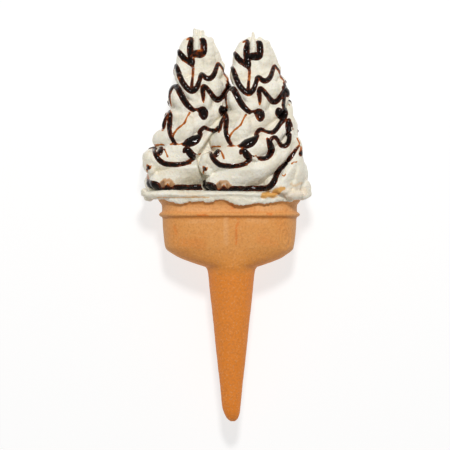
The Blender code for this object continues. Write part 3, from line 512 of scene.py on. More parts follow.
# Places where wafer crumbs tint the cream, in the same terms from the rim's middle
TANNED = (
    (((20.6, 0.7, 2.4), (23.6, 2.3, 4.6), (27, 1.7, 4.4), (29.8, 3.2, 5), (32.4, 5, 4.4),
      (35.2, 6.4, 2.4)), 1),
    (((40, 9.2, 1.6), (41.6, 7.8, 2), (44, 8.6, 2.4), (47, 9.8, 1.6)), 0.42),
    (((-47, 0.4, 0.5), (-34, 0.3, 0.6), (-22, 0.5, 0.9), (-13, 0.4, 0.8)), 0.85),
    (((-33, 3.4, 2), (-26, 2.6, 3), (-20, 2.6, 3)), 0.16),
    (((-52, 5.8, 1.2), (-49, 6.1, 1.4)), 0.5),
    (((36, 3, 6), (42, 4, 8), (48, 4.4, 7)), 0.17),
)
# Ragged edge of stains and tints: where it fades, in half widths, and its lumps
STAIN_EDGE = (0.6, 1.15)
STAIN_LUMPS = ((0.28, 1.8, 90, EVEN), (0.22, 0.8, 91, EVEN))


def smooth_step(low, high, value):
    t = np.clip((value - low) / (high - low), 0.0, 1.0)
    return t * t * (3.0 - 2.0 * t)


def table(pairs, at):
    """Reads a piecewise linear table of (position, value) pairs."""
    if at <= pairs[0][0]:
        return pairs[0][1]
    for (x0, v0), (x1, v1) in zip(pairs, pairs[1:]):
        if at <= x1:
            return v0 + (v1 - v0) * (at - x0) / (x1 - x0)
    return pairs[-1][1]


def by_turn(values, turn):
    """Reads a value given at each whole turn, extended past both ends."""
    last = len(values) - 1
    index = min(max(math.floor(turn), 0), last - 1)
    return values[index] + (values[index + 1] - values[index]) * (turn - index)


def waves(terms, at):
    """Sum of sine waves, each given as size, frequency and phase."""
    return sum(size * math.sin(frequency * at + phase) for size, frequency, phase in terms)


def around(count):
    """Angles spaced evenly round a circle."""
    return [math.tau * i / count for i in range(count)]


def squared_circle(angle, squareness):
    """Point of a unit circle whose sides are flattened towards a square."""
    c, s = math.cos(angle), math.sin(angle)
    power = 2.0 / squareness
    return math.copysign(abs(c) ** power, c), math.copysign(abs(s) ** power, s)


def loft(bm, rings):
    """Closed surface through rings of equal count, with a flat cap at each end."""
    loops = [[bm.verts.new(point) for point in ring] for ring in rings]
    count = len(loops[0])
    for low, high in zip(loops, loops[1:]):
        for i in range(count):
            j = (i + 1) % count
            bm.faces.new((low[i], low[j], high[j], high[i]))
    bm.faces.new(list(reversed(loops[0])))
    bm.faces.new(loops[-1])


def ellipsoid(bm, centre, half_sizes, tilt_degrees=0.0, turn_degrees=0.0):
    """Ellipsoid whose long way is tilted about Z and then turned about Y."""
    matrix = (
        Matrix.Translation(centre)
        @ Matrix.Rotation(math.radians(turn_degrees), 4, "Y")
        @ Matrix.Rotation(math.radians(tilt_degrees), 4, "Z")
        @ Matrix.Diagonal((*half_sizes, 1.0))
    )
    rings = []
    for row in range(1, ELLIPSOID_ROWS):
        up = math.pi * row / ELLIPSOID_ROWS
        rings.append([
            matrix @ Vector((math.sin(up) * math.cos(a), math.sin(up) * math.sin(a), -math.cos(up)))
            for a in around(ELLIPSOID_SIDES)
        ])
    loft(bm, rings)


def finish_mesh(bm, name):
    bmesh.ops.recalc_face_normals(bm, faces=bm.faces)
    mesh = bpy.data.meshes.new(name)
    bm.to_mesh(mesh)
    bm.free()
    return mesh


def link(mesh, name):
    obj = bpy.data.objects.new(name, mesh)
    bpy.context.scene.collection.objects.link(obj)
    return obj


def evaluated_mesh(obj):
    depsgraph = bpy.context.evaluated_depsgraph_get()
    return bpy.data.meshes.new_from_object(obj.evaluated_get(depsgraph))


def apply_modifiers(obj):
    mesh = evaluated_mesh(obj)
    obj.modifiers.clear()
    obj.data = mesh


def skin(bm, name):
    """Joins overlapping shells into one smooth skin of small even faces."""
    obj = link(finish_mesh(bm, name), name)
    remesh = obj.modifiers.new("join", "REMESH")
    remesh.mode = "VOXEL"
    remesh.voxel_size = VOXEL
    smooth = obj.modifiers.new("soften", "SMOOTH")
    smooth.factor = SMOOTHING
    smooth.iterations = SMOOTHING_STEPS
    apply_modifiers(obj)
    return obj


# Meshes as arrays


def read_vectors(items, name):
    values = np.empty(3 * len(items))
    items.foreach_get(name, values)
    return values.reshape(-1, 3)


def read_points(mesh):
    return read_vectors(mesh.vertices, "co")


def read_normals(mesh):
    return read_vectors(mesh.vertex_normals, "vector")


def read_quads(mesh):
    """The corners of each face of a mesh whose faces all have four."""
    corners = np.empty(len(mesh.loops), np.int64)
    mesh.loops.foreach_get("vertex_index", corners)
    return corners.reshape(-1, 4)


def raise_skin(mesh, heights):
    """The points of a mesh moved out along their normals."""
    return read_points(mesh) + read_normals(mesh) * heights[:, None]


def write_points(mesh, points):
    mesh.vertices.foreach_set("co", points.ravel())
    mesh.update()


def write_value(mesh, name, values):
    """Stores a number at each point, for a material to read."""
    attribute = mesh.attributes.new(name, "FLOAT", "POINT")
    attribute.data.foreach_set("value", values.astype(np.float32))


def lumps(points, size, seed):
    """Smooth random values from -1 to 1, with lumps about the given size across."""
    values = np.random.default_rng(seed).uniform(-1.0, 1.0, LUMP_VALUES)
    scaled = points / size
    cell = np.floor(scaled).astype(np.int64)
    part = scaled - cell
    part = part * part * (3.0 - 2.0 * part)
    total = np.zeros(len(points))
    for corner in np.ndindex(2, 2, 2):
        index = np.bitwise_xor.reduce((cell + corner) * LUMP_KEYS, axis=1) % LUMP_VALUES
        share = np.where(np.array(corner) == 1, part, 1.0 - part).prod(axis=1)
        total += values[index] * share
    return total


def uneven(points, terms, seed=0):
    """Sum of lumps, each given as height, lump size, seed and squeeze along each axis."""
    return sum(
        height * lumps(points * squeeze, size, seed + own_seed)
        for height, size, own_seed, squeeze in terms
    )


# Placing


WAFER_BOX = [corner / METRES_PER_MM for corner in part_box("wafer_cone")]
ORIGIN = Vector((
    0.5 * (WAFER_BOX[0].x + WAFER_BOX[1].x),
    WAFER_BOX[1].y,
    0.5 * (WAFER_BOX[0].z + WAFER_BOX[1].z) - WAFER_AXIS_Z,
))
TO_FRAME = Matrix.Scale(METRES_PER_MM, 4) @ Matrix.Translation(ORIGIN)


def place(obj, node, material):
    """Puts a finished piece in the frame, in place of a node, with its finish."""
    obj.data.transform(TO_FRAME)
    obj.data.materials.clear()
    obj.data.materials.append(material)
    obj.data.shade_smooth()
    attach(obj, BODY)
    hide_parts(node)


# Materials


class Nodes:
    """A material's node tree, with short calls for the nodes used here."""

    def __init__(self, name):
        self.material = bpy.data.materials.new(name)
        self.material.use_nodes = True
        self.tree = self.material.node_tree
        self.shader = self.tree.nodes["Principled BSDF"]

    def add(self, kind, inputs=None, **settings):
        node = self.tree.nodes.new(kind)
        for name, value in settings.items():
            setattr(node, name, value)
        for name, value in (inputs or {}).items():
            self.feed(node.inputs[name], value)
        return node

    def feed(self, socket, value):
        if isinstance(value, bpy.types.NodeSocket):
            self.tree.links.new(value, socket)
        else:
            socket.default_value = value

    def set(self, **values):
        for name, value in values.items():
            self.feed(self.shader.inputs[name.replace("_", " ")], value)

    def position(self):
        return self.add("ShaderNodeTexCoord").outputs["Object"]

    def noise(self, scale, detail=2.0, roughness=0.5, vector=None):
        node = self.add("ShaderNodeTexNoise", {"Scale": scale, "Detail": detail, "Roughness": roughness})
        self.feed(node.inputs["Vector"], vector or self.position())
        return node.outputs["Fac"]

    def span(self, value, low, high, to_low=0.0, to_high=1.0):
        node = self.add("ShaderNodeMapRange", {"Value": value, "From Min": low, "From Max": high,
                                               "To Min": to_low, "To Max": to_high})
        node.interpolation_type = "SMOOTHSTEP"
        return node.outputs["Result"]

    def math(self, operation, a, b=0.0):
        node = self.add("ShaderNodeMath", operation=operation)
        self.feed(node.inputs[0], a)
        self.feed(node.inputs[1], b)
        return node.outputs[0]

    def mix(self, share, first, second):
        node = self.add("ShaderNodeMix", data_type="RGBA")
        self.feed(node.inputs["Factor"], share)
        self.feed(node.inputs[6], first)
        self.feed(node.inputs[7], second)
        return node.outputs[2]

    def fleck(self, base, noise, low, high, share, tint):
        """Lays a colour over the base in the flecks where a noise is high."""
        return self.mix(self.math("MULTIPLY", self.span(noise, low, high), share), base, colour(tint))

    def ramp(self, value, stops):
        node = self.add("ShaderNodeValToRGB", {"Fac": value})
        elements = node.color_ramp.elements
        while len(elements) < len(stops):
            elements.new(1.0)
        for element, (at, values) in zip(elements, stops):
            element.position = at
            element.color = colour(values)
        return node.outputs["Color"]

    def attribute(self, name):
        return self.add("ShaderNodeAttribute", attribute_name=name).outputs["Fac"]

    def bump(self, height, distance, strength=1.0, normal=None):
        node = self.add("ShaderNodeBump", {"Height": height, "Distance": distance, "Strength": strength})
        if normal is not None:
            self.feed(node.inputs["Normal"], normal)
        return node.outputs["Normal"]


def colour(values):
    """Linear colour of the given sRGB values from 0 to 255."""
    parts = [value / 255.0 for value in values]
    linear = [v / 12.92 if v <= 0.04045 else ((v + 0.055) / 1.055) ** 2.4 for v in parts]
    return (*linear, 1.0)


def cream_material():
    nodes = Nodes("cream")
    patches = nodes.span(nodes.noise(90.0, 3.0), 0.35, 0.68)
    base = nodes.mix(patches, colour(CREAM), colour(CREAM_PATCH))
    base = nodes.fleck(base, nodes.noise(760.0, 1.0), 0.55, 0.78, 0.42, CREAM_SPECK)
    stain = nodes.attribute("stain")
    base = nodes.mix(nodes.span(stain, 0.0, 0.5), base, colour(STAIN))
    base = nodes.mix(nodes.span(stain, 0.5, 1.0), base, colour(STAIN_DEEP))
    base = nodes.mix(nodes.attribute("tan"), base, colour(TAN))
    grain = nodes.noise(820.0, 2.0, 0.6)
    pits = nodes.noise(300.0, 2.0, 0.55)
    normal = nodes.bump(pits, 0.0006)
    normal = nodes.bump(grain, 0.00045, 1.0, normal)
    nodes.set(Base_Color=base, Roughness=0.5, Normal=normal, Subsurface_Weight=0.15,
              Subsurface_Radius=(1.0, 0.8, 0.55), Subsurface_Scale=0.0016, Specular_IOR_Level=0.35)
    return nodes.material


def sauce_material():
    nodes = Nodes("chocolate_sauce")
    patches = nodes.span(nodes.noise(520.0, 2.0), 0.35, 0.65, 0.6, 1.15)
    broad = nodes.span(nodes.noise(110.0, 1.0), 0.27, 0.38, 0.45, 1.0)
    patches = nodes.math("MULTIPLY", patches, broad)
    depth = nodes.math("MULTIPLY", nodes.attribute("sauce_depth"), patches)
    normal = nodes.bump(nodes.noise(420.0, 2.0), 0.00022, 0.6)
    nodes.set(Base_Color=nodes.ramp(depth, SAUCE_COLOURS), Roughness=0.09, Normal=normal, IOR=1.27)
    return nodes.material


def wafer_material():
    nodes = Nodes("wafer")
    spot = nodes.add("ShaderNodeSeparateXYZ", {"Vector": nodes.position()})
    middle = ORIGIN * METRES_PER_MM
    depth = nodes.math("SUBTRACT", middle.y, spot.outputs["Y"])
    along = nodes.math("DIVIDE", depth, WAFER_LENGTH * METRES_PER_MM)
    # The ramp holds a narrow band of painted shade just under the bead
    base = nodes.ramp(along, WAFER_COLOURS)
    base = nodes.fleck(base, nodes.noise(60.0, 3.0), 0.45, 0.75, 0.30, WAFER_MOTTLE)
    away = nodes.math("ABSOLUTE", nodes.math("SUBTRACT", spot.outputs["X"], middle.x))
    # Painted shade: the wafer greys towards its rounded ends
    base = nodes.mix(nodes.span(away, *WAFER_SIDE_SHADE_SPAN, 0.0, 0.5), base, colour(WAFER_SIDE_SHADE))
    # Painted light: paler where the wafer falls in shade
    base = nodes.mix(nodes.attribute("pale"), base, colour(WAFER_PAINTED_LIGHT))
    base = nodes.mix(nodes.attribute("browned"), base, colour(WAFER_BROWNED))
    base = nodes.fleck(base, nodes.noise(720.0, 1.0), 0.46, 0.66, 0.30, WAFER_DARK_SPECK)
    base = nodes.fleck(base, nodes.noise(880.0, 1.0), 0.54, 0.72, 0.28, WAFER_LIGHT_SPECK)
    bake = nodes.noise(760.0, 3.0, 0.6)
    pores = nodes.noise(190.0, 2.0)
    normal = nodes.bump(pores, 0.0003, 0.5)
    normal = nodes.bump(bake, 0.0003, 0.8, normal)
    nodes.set(Base_Color=base, Roughness=0.62, Normal=normal, Specular_IOR_Level=0.3)
    return nodes.material


def floor_material():
    nodes = Nodes("floor")
    nodes.set(Base_Color=FLOOR_GREY, Roughness=0.9, Specular_IOR_Level=0.1,
              Emission_Color=(1.0, 1.0, 1.0, 1.0), Emission_Strength=FLOOR_GLOW)
    return nodes.material


# Wafer


def smooth_rows(rows, step):
    """Rows about a step apart along a smooth line through the given rows."""
    rows = [Vector(row) for row in rows]
    ends = [2 * rows[0] - rows[1]] + rows + [2 * rows[-1] - rows[-2]]
    smooth = []
    for p0, p1, p2, p3 in zip(ends, ends[1:], ends[2:], ends[3:]):
        pieces = max(1, round((p2 - p1).length / step))
        for k in range(pieces):
            t = k / pieces
            bend = (2 * p0 - 5 * p1 + 4 * p2 - p3) * t**2
            twist = (3 * p1 - p0 - 3 * p2 + p3) * t**3
            smooth.append(0.5 * (2 * p1 + (p2 - p0) * t + bend + twist))
    return smooth + [rows[-1]]


def wafer_profile():
    """Depth below the rim with the half width, half depth and roundness of the wafer there."""
    stem_half_width = CUP_PROFILE[-1][1]
    rows = []
    for depth, half_width in CUP_PROFILE:
        blend = max(0.0, (depth - WALL_BOTTOM) / (STEM_TOP_DEPTH - WALL_BOTTOM))
        half_depth = table(CUP_PROFILE, min(depth, WALL_BOTTOM)) - CUP_WIDTH_OVER_DEPTH
        rows.append((depth, half_width, half_depth + (stem_half_width - half_depth) * blend, blend))
    stem = [(depth, STEM_TOP_RADIUS - STEM_TAPER * (depth - STEM_TOP_DEPTH)) for depth in STEM_DEPTHS]
    return rows + [(depth, radius, radius, 1.0) for depth, radius in (*stem, *STEM_TIP)]


def wafer_ring(depth, half_width, half_depth, blend):
    """Outline at one depth: a squared oval with a shallow waist, which becomes a circle."""
    squareness = CUP_SQUARENESS + (2.0 - CUP_SQUARENESS) * blend
    tip = max(0.0, (depth - STEM_DEPTHS[-1]) / (WAFER_LENGTH - STEM_DEPTHS[-1]))
    centre_x = STEM_SHIFT * blend + STEM_TIP_SHIFT * tip
    ring = []
    for angle in around(WAFER_SIDES):
        c, s = squared_circle(angle, squareness)
        x = centre_x + half_width * c
        waist = WAIST_DEPTH * (1.0 - blend) * math.exp(-(((x - WAIST_X) / WAIST_HALF_WIDTH) ** 2))
        ring.append((x, -depth, WAFER_AXIS_Z + (half_depth - waist) * s))
    return ring


def shown_side(points, rise):
    """Share that grows from nothing at the wafer's middle to one at a height above it."""
    return smooth_step(WAFER_AXIS_Z, WAFER_AXIS_Z + rise, points[:, 2])


def moulded_rings(points):
    """Height of the faint oval rings on the shown wall."""
    away = np.hypot(points[:, 0] - RINGS_AT[0], (points[:, 1] - RINGS_AT[1]) / RINGS_TALL)
    rings = RINGS_HEIGHT * np.sin(math.tau * away / RINGS_SPACING)
    fade = 1.0 - smooth_step(RINGS_FULL * RINGS_REACH, RINGS_REACH, away)
    return rings * shown_side(points, RINGS_RISE) * fade


def make_wafer():
    bm = bmesh.new()
    rows = smooth_rows(wafer_profile(), WAFER_RING_STEP)
    loft(bm, [wafer_ring(*row) for row in rows])
    obj = link(finish_mesh(bm, "wafer"), "wafer")
    points = read_points(obj.data)
    heights = uneven(points, WAFER_LUMPS) + moulded_rings(points)
    write_points(obj.data, raise_skin(obj.data, heights))
    # The browned marks are the wafer's own colour; the pale ones are painted light
    for name, marks in (("browned", BROWNED), ("pale", PAINTED_LIGHT_MARKS)):
        write_value(obj.data, name, strongest(points, marks) * shown_side(points, MARKS_RISE))
    place(obj, "wafer_cone", wafer_material())


# Cream


def reach(y, side):
    return table(RIGHT_REACH if side >= 0 else LEFT_REACH, y)


def depth_reach(y, limit):
    """Half depth of a swirl at a height, never more than its limit."""
    half_width = 0.5 * (reach(y, 1) + reach(y, -1))
    return (half_width**-4 + limit**-4) ** -0.25


def coil_height(turn):
    """Height of a coil's middle: it rises to the right and dips in front."""
    angle = math.tau * turn
    rise = 0.5 * by_turn(COIL_RISE, turn) * (1.0 - math.cos(angle))
    return by_turn(COIL_HEIGHTS, turn) + rise - by_turn(COIL_DIP, turn) * math.sin(angle)


def coil_point(turn, limit):
    """Middle of the coil, from the left end over the front to the right and round the back."""
    y = min(coil_height(turn), COIL_TOP)
    thickness = by_turn(COIL_THICKNESS, turn)
    c, s = squared_circle(math.pi - math.tau * turn, SWIRL_SQUARENESS)
    x = c * max(reach(y, c) - thickness, COIL_LEAST_RADIUS)
    z = s * max(depth_reach(y, limit) - thickness, COIL_LEAST_RADIUS)
    return Vector((x, y, z))


def add_coil(bm, limit):
    """The piped ribbon: an oval section swept up the swirl, with a rounded nose at its start."""
    rings = []
    steps = int(COIL_TURNS * COIL_STEPS_PER_TURN)
    for step in range(steps + 1):
        turn = step / COIL_STEPS_PER_TURN
        centre = coil_point(turn, limit)
        along = coil_point(turn + COIL_LOOK_AHEAD, limit) - coil_point(turn - COIL_LOOK_AHEAD, limit)
        out = along.cross(Vector((0.0, 1.0, 0.0))).normalized()
        up = out.cross(along).normalized()
        pitch = 0.5 * (coil_height(turn + 1.0) - coil_height(turn - 1.0))
        lump = 1.0 + sum(share * math.sin(frequency * turn) for share, frequency in COIL_LUMPS)
        ends = COIL_NOSE_START + min(step, steps - step)
        ends = min(ends, COIL_NOSE_STEPS) / COIL_NOSE_STEPS
        nose = math.sqrt(1.0 - (1.0 - ends) ** 2)
        half_out = by_turn(COIL_THICKNESS, turn) * nose * lump
        half_up = COIL_OVERLAP * pitch * up.y * nose * lump
        rings.append([
            centre + out * (half_out * math.cos(a)) + up * (half_up * math.sin(a))
            for a in around(COIL_SIDES)
        ])
    loft(bm, rings)


def add_core(bm, limit):
    """The cream inside the coils, from below the slab's top to just under the tip."""
    rings = []
    for level in range(CORE_LEVELS + 1):
        y = CORE_BOTTOM + (CORE_TOP - CORE_BOTTOM) * level / CORE_LEVELS
        inset = CORE_INSET * table(list(zip(COIL_HEIGHTS, COIL_THICKNESS)), y)
        half_depth = max(depth_reach(y, limit) - inset, CORE_LEAST_RADIUS)
        ring = []
        for angle in around(CORE_SIDES):
            c, s = squared_circle(angle, SWIRL_SQUARENESS)
            ring.append((c * max(reach(y, c) - inset, CORE_LEAST_RADIUS), y, s * half_depth))
        rings.append(ring)
    loft(bm, rings)


def add_foot(bm, limit):
    """A low ring of cream under the first coil, where that has risen off the slab."""
    for i in range(FOOT_LUMPS):
        along = i / (FOOT_LUMPS - 1)
        c, s = squared_circle(FOOT_START - FOOT_SWEEP * along, SWIRL_SQUARENESS)
        lift = FOOT_HEIGHT + FOOT_RISE * math.sin(math.pi * along)
        size = FOOT_THICKNESS * (1.0 + FOOT_UNEVEN * math.sin(FOOT_UNEVEN_TURN * i))
        x = c * (reach(lift, c) - size + FOOT_PROUD)
        z = s * (depth_reach(lift, limit) - size + FOOT_PROUD)
        ellipsoid(bm, (x, lift - FOOT_SINK, z), (size, lift, size))


def add_folds(bm, limit):
    """Folds on the shown side, each set into the coils it lies on."""
    for x, y, half_width, half_height, thickness, tilt in FOLDS + FINE_FOLDS:
        side = min(abs(x) / reach(y, x), FOLD_OUTMOST)
        z = depth_reach(y, limit) * (1.0 - side**SWIRL_SQUARENESS) ** (1.0 / SWIRL_SQUARENESS)
        facing = math.degrees(math.asin(side)) * math.copysign(FOLD_FACING, x)
        out = Matrix.Rotation(math.radians(facing), 3, "Y") @ Vector((0.0, 0.0, 1.0))
        centre = Vector((x, y, z)) - FOLD_SINK * thickness * out
        ellipsoid(bm, centre, (half_width, half_height, thickness), tilt, facing)


def add_top_lobes(bm):
    for x, y, z, half_x, half_y, half_z, tilt in TOP_LOBES:
        ellipsoid(bm, (x, y, z), (half_x, half_y, half_z), tilt)


def add_spike(bm, x, z, half_width, half_depth, rows):
    """Upright oval piece, with rows of height and share of its full size."""
    loft(bm, [
        [(x + share * half_width * math.cos(a), y, z + share * half_depth * math.sin(a))
         for a in around(SPIKE_SIDES)]
        for y, share in rows
    ])


def add_tip(bm, kind):
    """The last of the cream pulled up: one thin point, or the short ridges a star nozzle leaves."""
    if kind == "pointed":
        add_spike(bm, POINT_X, 0.0, 1.0, 1.0, POINT_PROFILE)
        for x, y in POINT_LUMPS:
            ellipsoid(bm, (x, y, TIP_Z), POINT_LUMP_SIZES)
    else:
        for x, top in RIDGE_TOPS:
            rows = [RIDGE_FOOT] + [(top - below, share) for below, share in RIDGE_ROWS]
            add_spike(bm, x, TIP_Z, RIDGE_HALF_WIDTH, RIDGE_HALF_DEPTH, rows)


def swirl_place(swirl):
    base = SLAB_THICKNESS + swirl["base"]
    stretch = Matrix.Diagonal((1.0, swirl["stretch"], 1.0, 1.0))
    return Matrix.Translation((swirl["x"], base, swirl["z"])) @ stretch


def in_swirl(points, swirl):
    """Points of the whole seen in a swirl's own frame."""
    x = points[:, 0] - swirl["x"]
    y = (points[:, 1] - SLAB_THICKNESS - swirl["base"]) / swirl["stretch"]
    return np.stack((x, y, points[:, 2] - swirl["z"]), axis=1)


def relief(points, marks):
    """Height of the soft ridges and hollows on the shown side, in a swirl's own frame."""
    height = np.zeros(len(points))
    for x, y, half_width, half_height, tilt, most in marks:
        c, s = math.cos(math.radians(tilt)), math.sin(math.radians(tilt))
        across = ((points[:, 0] - x) * c + (points[:, 1] - y) * s) / half_width
        along = ((points[:, 1] - y) * c - (points[:, 0] - x) * s) / half_height
        height += most * np.exp(-(across**2) - along**2)
    return height * smooth_step(*RELIEF_RISE, points[:, 2])


def ripples(points, seed):
    """Fine uneven ripples, longer across than up, where the lobes are marked as rippled."""
    share = np.zeros(len(points))
    for x, y, half_width, half_height in RIPPLED:
        away = ((points[:, 0] - x) / half_width) ** 2 + ((points[:, 1] - y) / half_height) ** 2
        share = np.maximum(share, np.exp(-(away**2)))
    return share * uneven(points, RIPPLES, seed)


def sink_behind(points, front):
    """Lowers the cream that the swirl in front covers, so that the edge in front shows."""
    local = in_swirl(points, front)
    edge = np.interp(local[:, 1], *np.array(LEFT_REACH).T)
    inside = smooth_step(-CREVICE_WIDTH, CREVICE_INSIDE, local[:, 0] + edge)
    limit = front["z"] + CREVICE_Z
    excess = np.maximum(points[:, 2] - limit, 0.0)
    points[:, 2] -= excess * inside * (local[:, 1] > CREVICE_BOTTOM)


def roughen(obj, seed):
    """Uneven surface of whipped cream, with the back flat where it rests on the floor."""
    points = raise_skin(obj.data, uneven(read_points(obj.data), CREAM_LUMPS, seed))
    points[:, 2] = np.maximum(points[:, 2], -ORIGIN.z)
    write_points(obj.data, points)
    return points


def stained(points, route):
    """How strongly each point is stained along a route, from nothing to one."""
    flat = points * (1.0, 1.0, 0.0)
    rows = smooth_rows(route, SAUCE_STEP)
    line = np.array([(x, y, 0.0) for x, y, _ in rows])
    radii = np.array([0.5 * width for _, _, width in rows])
    _, across, _ = strand_field(flat, line, radii, 1.0)
    return 1.0 - smooth_step(*STAIN_EDGE, across + uneven(flat, STAIN_LUMPS))


def strongest(points, marks):
    """The strongest of the given marks at each point."""
    return np.max([strength * stained(points, route) for route, strength in marks], axis=0)


def tanned(points):
    """Tint of wafer crumbs at each point, given from the rim's middle."""
    return shown_side(points, TAN_RISE) * strongest(points, TANNED)


def make_swirl(name, swirl):
    bm = bmesh.new()
    add_core(bm, swirl["depth"])
    add_foot(bm, swirl["depth"])
    add_coil(bm, swirl["depth"])
    add_folds(bm, swirl["depth"])
    add_top_lobes(bm)
    add_tip(bm, swirl["tip"])
    bmesh.ops.transform(bm, matrix=swirl_place(swirl), verts=bm.verts)
    obj = skin(bm, f"swirl_{name}")
    points = read_points(obj.data)
    marks = RELIEF + LEFT_RELIEF if name == "left" else RELIEF
    local = in_swirl(points, swirl)
    points[:, 2] += relief(local, marks) + ripples(local, swirl["seed"])
    if name == "left":
        sink_behind(points, SWIRLS["right"])
    write_points(obj.data, points)
    points = roughen(obj, swirl["seed"])
    local = in_swirl(points, swirl)
    write_value(obj.data, "stain", strongest(local, STAINS) * smooth_step(*STAIN_RISE, local[:, 2]))
    write_value(obj.data, "tan", tanned(points))
    return obj


def slab_outline(angle):
    """Unit outline of the slab with a gently uneven edge."""
    c, s = squared_circle(angle, SLAB_SQUARENESS)
    size = 1.0 + waves(SLAB_EDGE_WAVES, angle)
    return c * size, s * size


def add_slab(bm):
    """The flat layer of cream on both cups, with a rounded edge."""
    rings = []
    for y, size in SLAB_ROWS:
        half_depth = SLAB_HALF_DEPTH - SLAB_HALF_WIDTH * (1.0 - size)
        ring = []
        for angle in around(SLAB_SIDES):
            c, s = slab_outline(angle)
            sag = SLAB_SAG * math.sin(SLAB_SAG_WAVES * angle)
            x = SLAB_CENTRE_X + SLAB_HALF_WIDTH * size * c
            ring.append((x, y + sag, SLAB_AXIS_Z + half_depth * s))
        rings.append(ring)
    loft(bm, rings)


def add_lip(bm):
    """Thin ragged band of cream that hangs over the rim along the shown side."""
    rings = []
    for step in range(LIP_STEPS + 1):
        angle = LIP_START + (LIP_END - LIP_START) * step / LIP_STEPS
        c, s = squared_circle(angle, CUP_SQUARENESS)
        x = RIM_HALF_WIDTH * c
        z = WAFER_AXIS_Z + (RIM_HALF_WIDTH - CUP_WIDTH_OVER_DEPTH) * s
        out = Vector((c * LIP_FACING, 0.0, s)).normalized()
        hang = table(LIP_EDGE, x) + waves(LIP_WAVES, x)
        ends = min(step, LIP_STEPS - step, LIP_END_STEPS) / LIP_END_STEPS
        hang *= LIP_END_SHARE + (1.0 - LIP_END_SHARE) * ends
        middle = Vector((x, LIP_TOP - 0.5 * hang, z)) + out * (LIP_PROUD * LIP_THICKNESS)
        half_height = Vector((0.0, 0.5 * hang + LIP_TOP, 0.0))
        rings.append([
            middle + out * (LIP_THICKNESS * math.cos(a)) + half_height * math.sin(a)
            for a in around(LIP_SIDES)
        ])
    loft(bm, rings)


def add_left_lumps(bm):
    """Rounded drops of cream at the slab's left end."""
    for x, y, size in LEFT_LUMPS:
        ellipsoid(bm, (x, y, LEFT_LUMPS_Z), (size, size, size * LEFT_LUMPS_DEPTH))


def crumbs_and_folds(points):
    """Height of the slab's crumbs, in patches, and of its folds towards the right end."""
    crumbs = smooth_step(*CRUMB_FADE, uneven(points, CRUMB_PATCHES)) * uneven(points, CRUMBS)
    return crumbs + smooth_step(*SLAB_FOLDS_RISE, points[:, 0]) * uneven(points, SLAB_FOLDS)


def make_slab():
    bm = bmesh.new()
    add_slab(bm)
    add_lip(bm)
    add_left_lumps(bm)
    obj = skin(bm, "slab")
    write_points(obj.data, raise_skin(obj.data, crumbs_and_folds(read_points(obj.data))))
    points = roughen(obj, SLAB_SEED)
    write_value(obj.data, "stain", np.zeros(len(points)))
    write_value(obj.data, "tan", tanned(points))
    return obj


# Sauce


def surface_tree(obj):
    bm = bmesh.new()
    bm.from_mesh(obj.data)
    tree = BVHTree.FromBMesh(bm)
    bm.free()
    return tree


def highest(tree, x, y):
    """Height of a surface seen from straight above."""
    hit = tree.ray_cast(Vector((x, y, CLEAR_OF_ALL)), Vector((0.0, 0.0, -1.0)))[0]
    return None if hit is None else hit.z


def drape(tree, cover, swirl, route):
    """A route laid on the shown side of a swirl, as runs of points and half widths.

    Where the swirl in front covers the route, the run ends.
    """
    runs = [[]]
    for x, y, width in smooth_rows(route, SAUCE_STEP):
        px, py, _ = swirl_place(swirl) @ Vector((x, y, 0.0))
        z = highest(tree, px, py)
        over = highest(cover, px, py) if cover else None
        if z is None or (over is not None and over > z + COVER_MARGIN):
            runs.append([])
        else:
            spread = 1.0 + (SPREAD - 1.0) * min(width / SPREAD_WIDTH, 1.0)
            runs[-1].append((px, py, z, 0.5 * spread * width))
    runs = [np.array(run) for run in runs if len(run) > 1]
    return [(run[:, :3], run[:, 3], SLOPE_SHARE) for run in runs]


def drape_flank(tree, swirl, side, high, low, width):
    """A strand that goes on round a flank, laid from straight out of the swirl's axis."""
    points, radii = [], []
    for step in range(FLANK_STEPS + 1):
        along = step / FLANK_STEPS
        angle = FLANK_START + (FLANK_END - FLANK_START) * along
        angle = angle if side > 0 else math.pi - angle
        y = high + (low - high) * along + FLANK_WAVE * math.sin(math.tau * along)
        axis = swirl_place(swirl) @ Vector((0.0, y, 0.0))
        out = Vector((math.cos(angle), 0.0, math.sin(angle)))
        hit = tree.ray_cast(axis + CLEAR_OF_ALL * out, -out)[0]
        if hit is not None:
            points.append(hit)
            radii.append(0.5 * width * (1.0 - FLANK_TAPER * along))
    return np.array(points), np.array(radii), 1.0


def strand_field(points, line, radii, slope_share):
    """For each point, how far it is past the strand's edge and across the strand, in half widths,
    and the strand's half width there.
    """
    flatten = np.array((1.0, 1.0, slope_share))
    points = points * flatten
    line = line * flatten
    starts, ends = line[:-1], line[1:]
    ways = ends - starts
    lengths = np.maximum((ways**2).sum(axis=1), TINY)
    past = np.full(len(points), FAR)
    across = np.empty(len(points))
    half = np.empty(len(points))
    for start, way, length, r0, r1 in zip(starts, ways, lengths, radii[:-1], radii[1:]):
        t = np.clip(((points - start) @ way) / length, 0.0, 1.0)
        away = np.linalg.norm(points - start - t[:, None] * way, axis=1)
        radius = r0 + t * (r1 - r0)
        nearer = away - radius < past
        past[nearer] = (away - radius)[nearer]
        across[nearer] = (away / radius)[nearer]
        half[nearer] = radius[nearer]
    return past, across, half


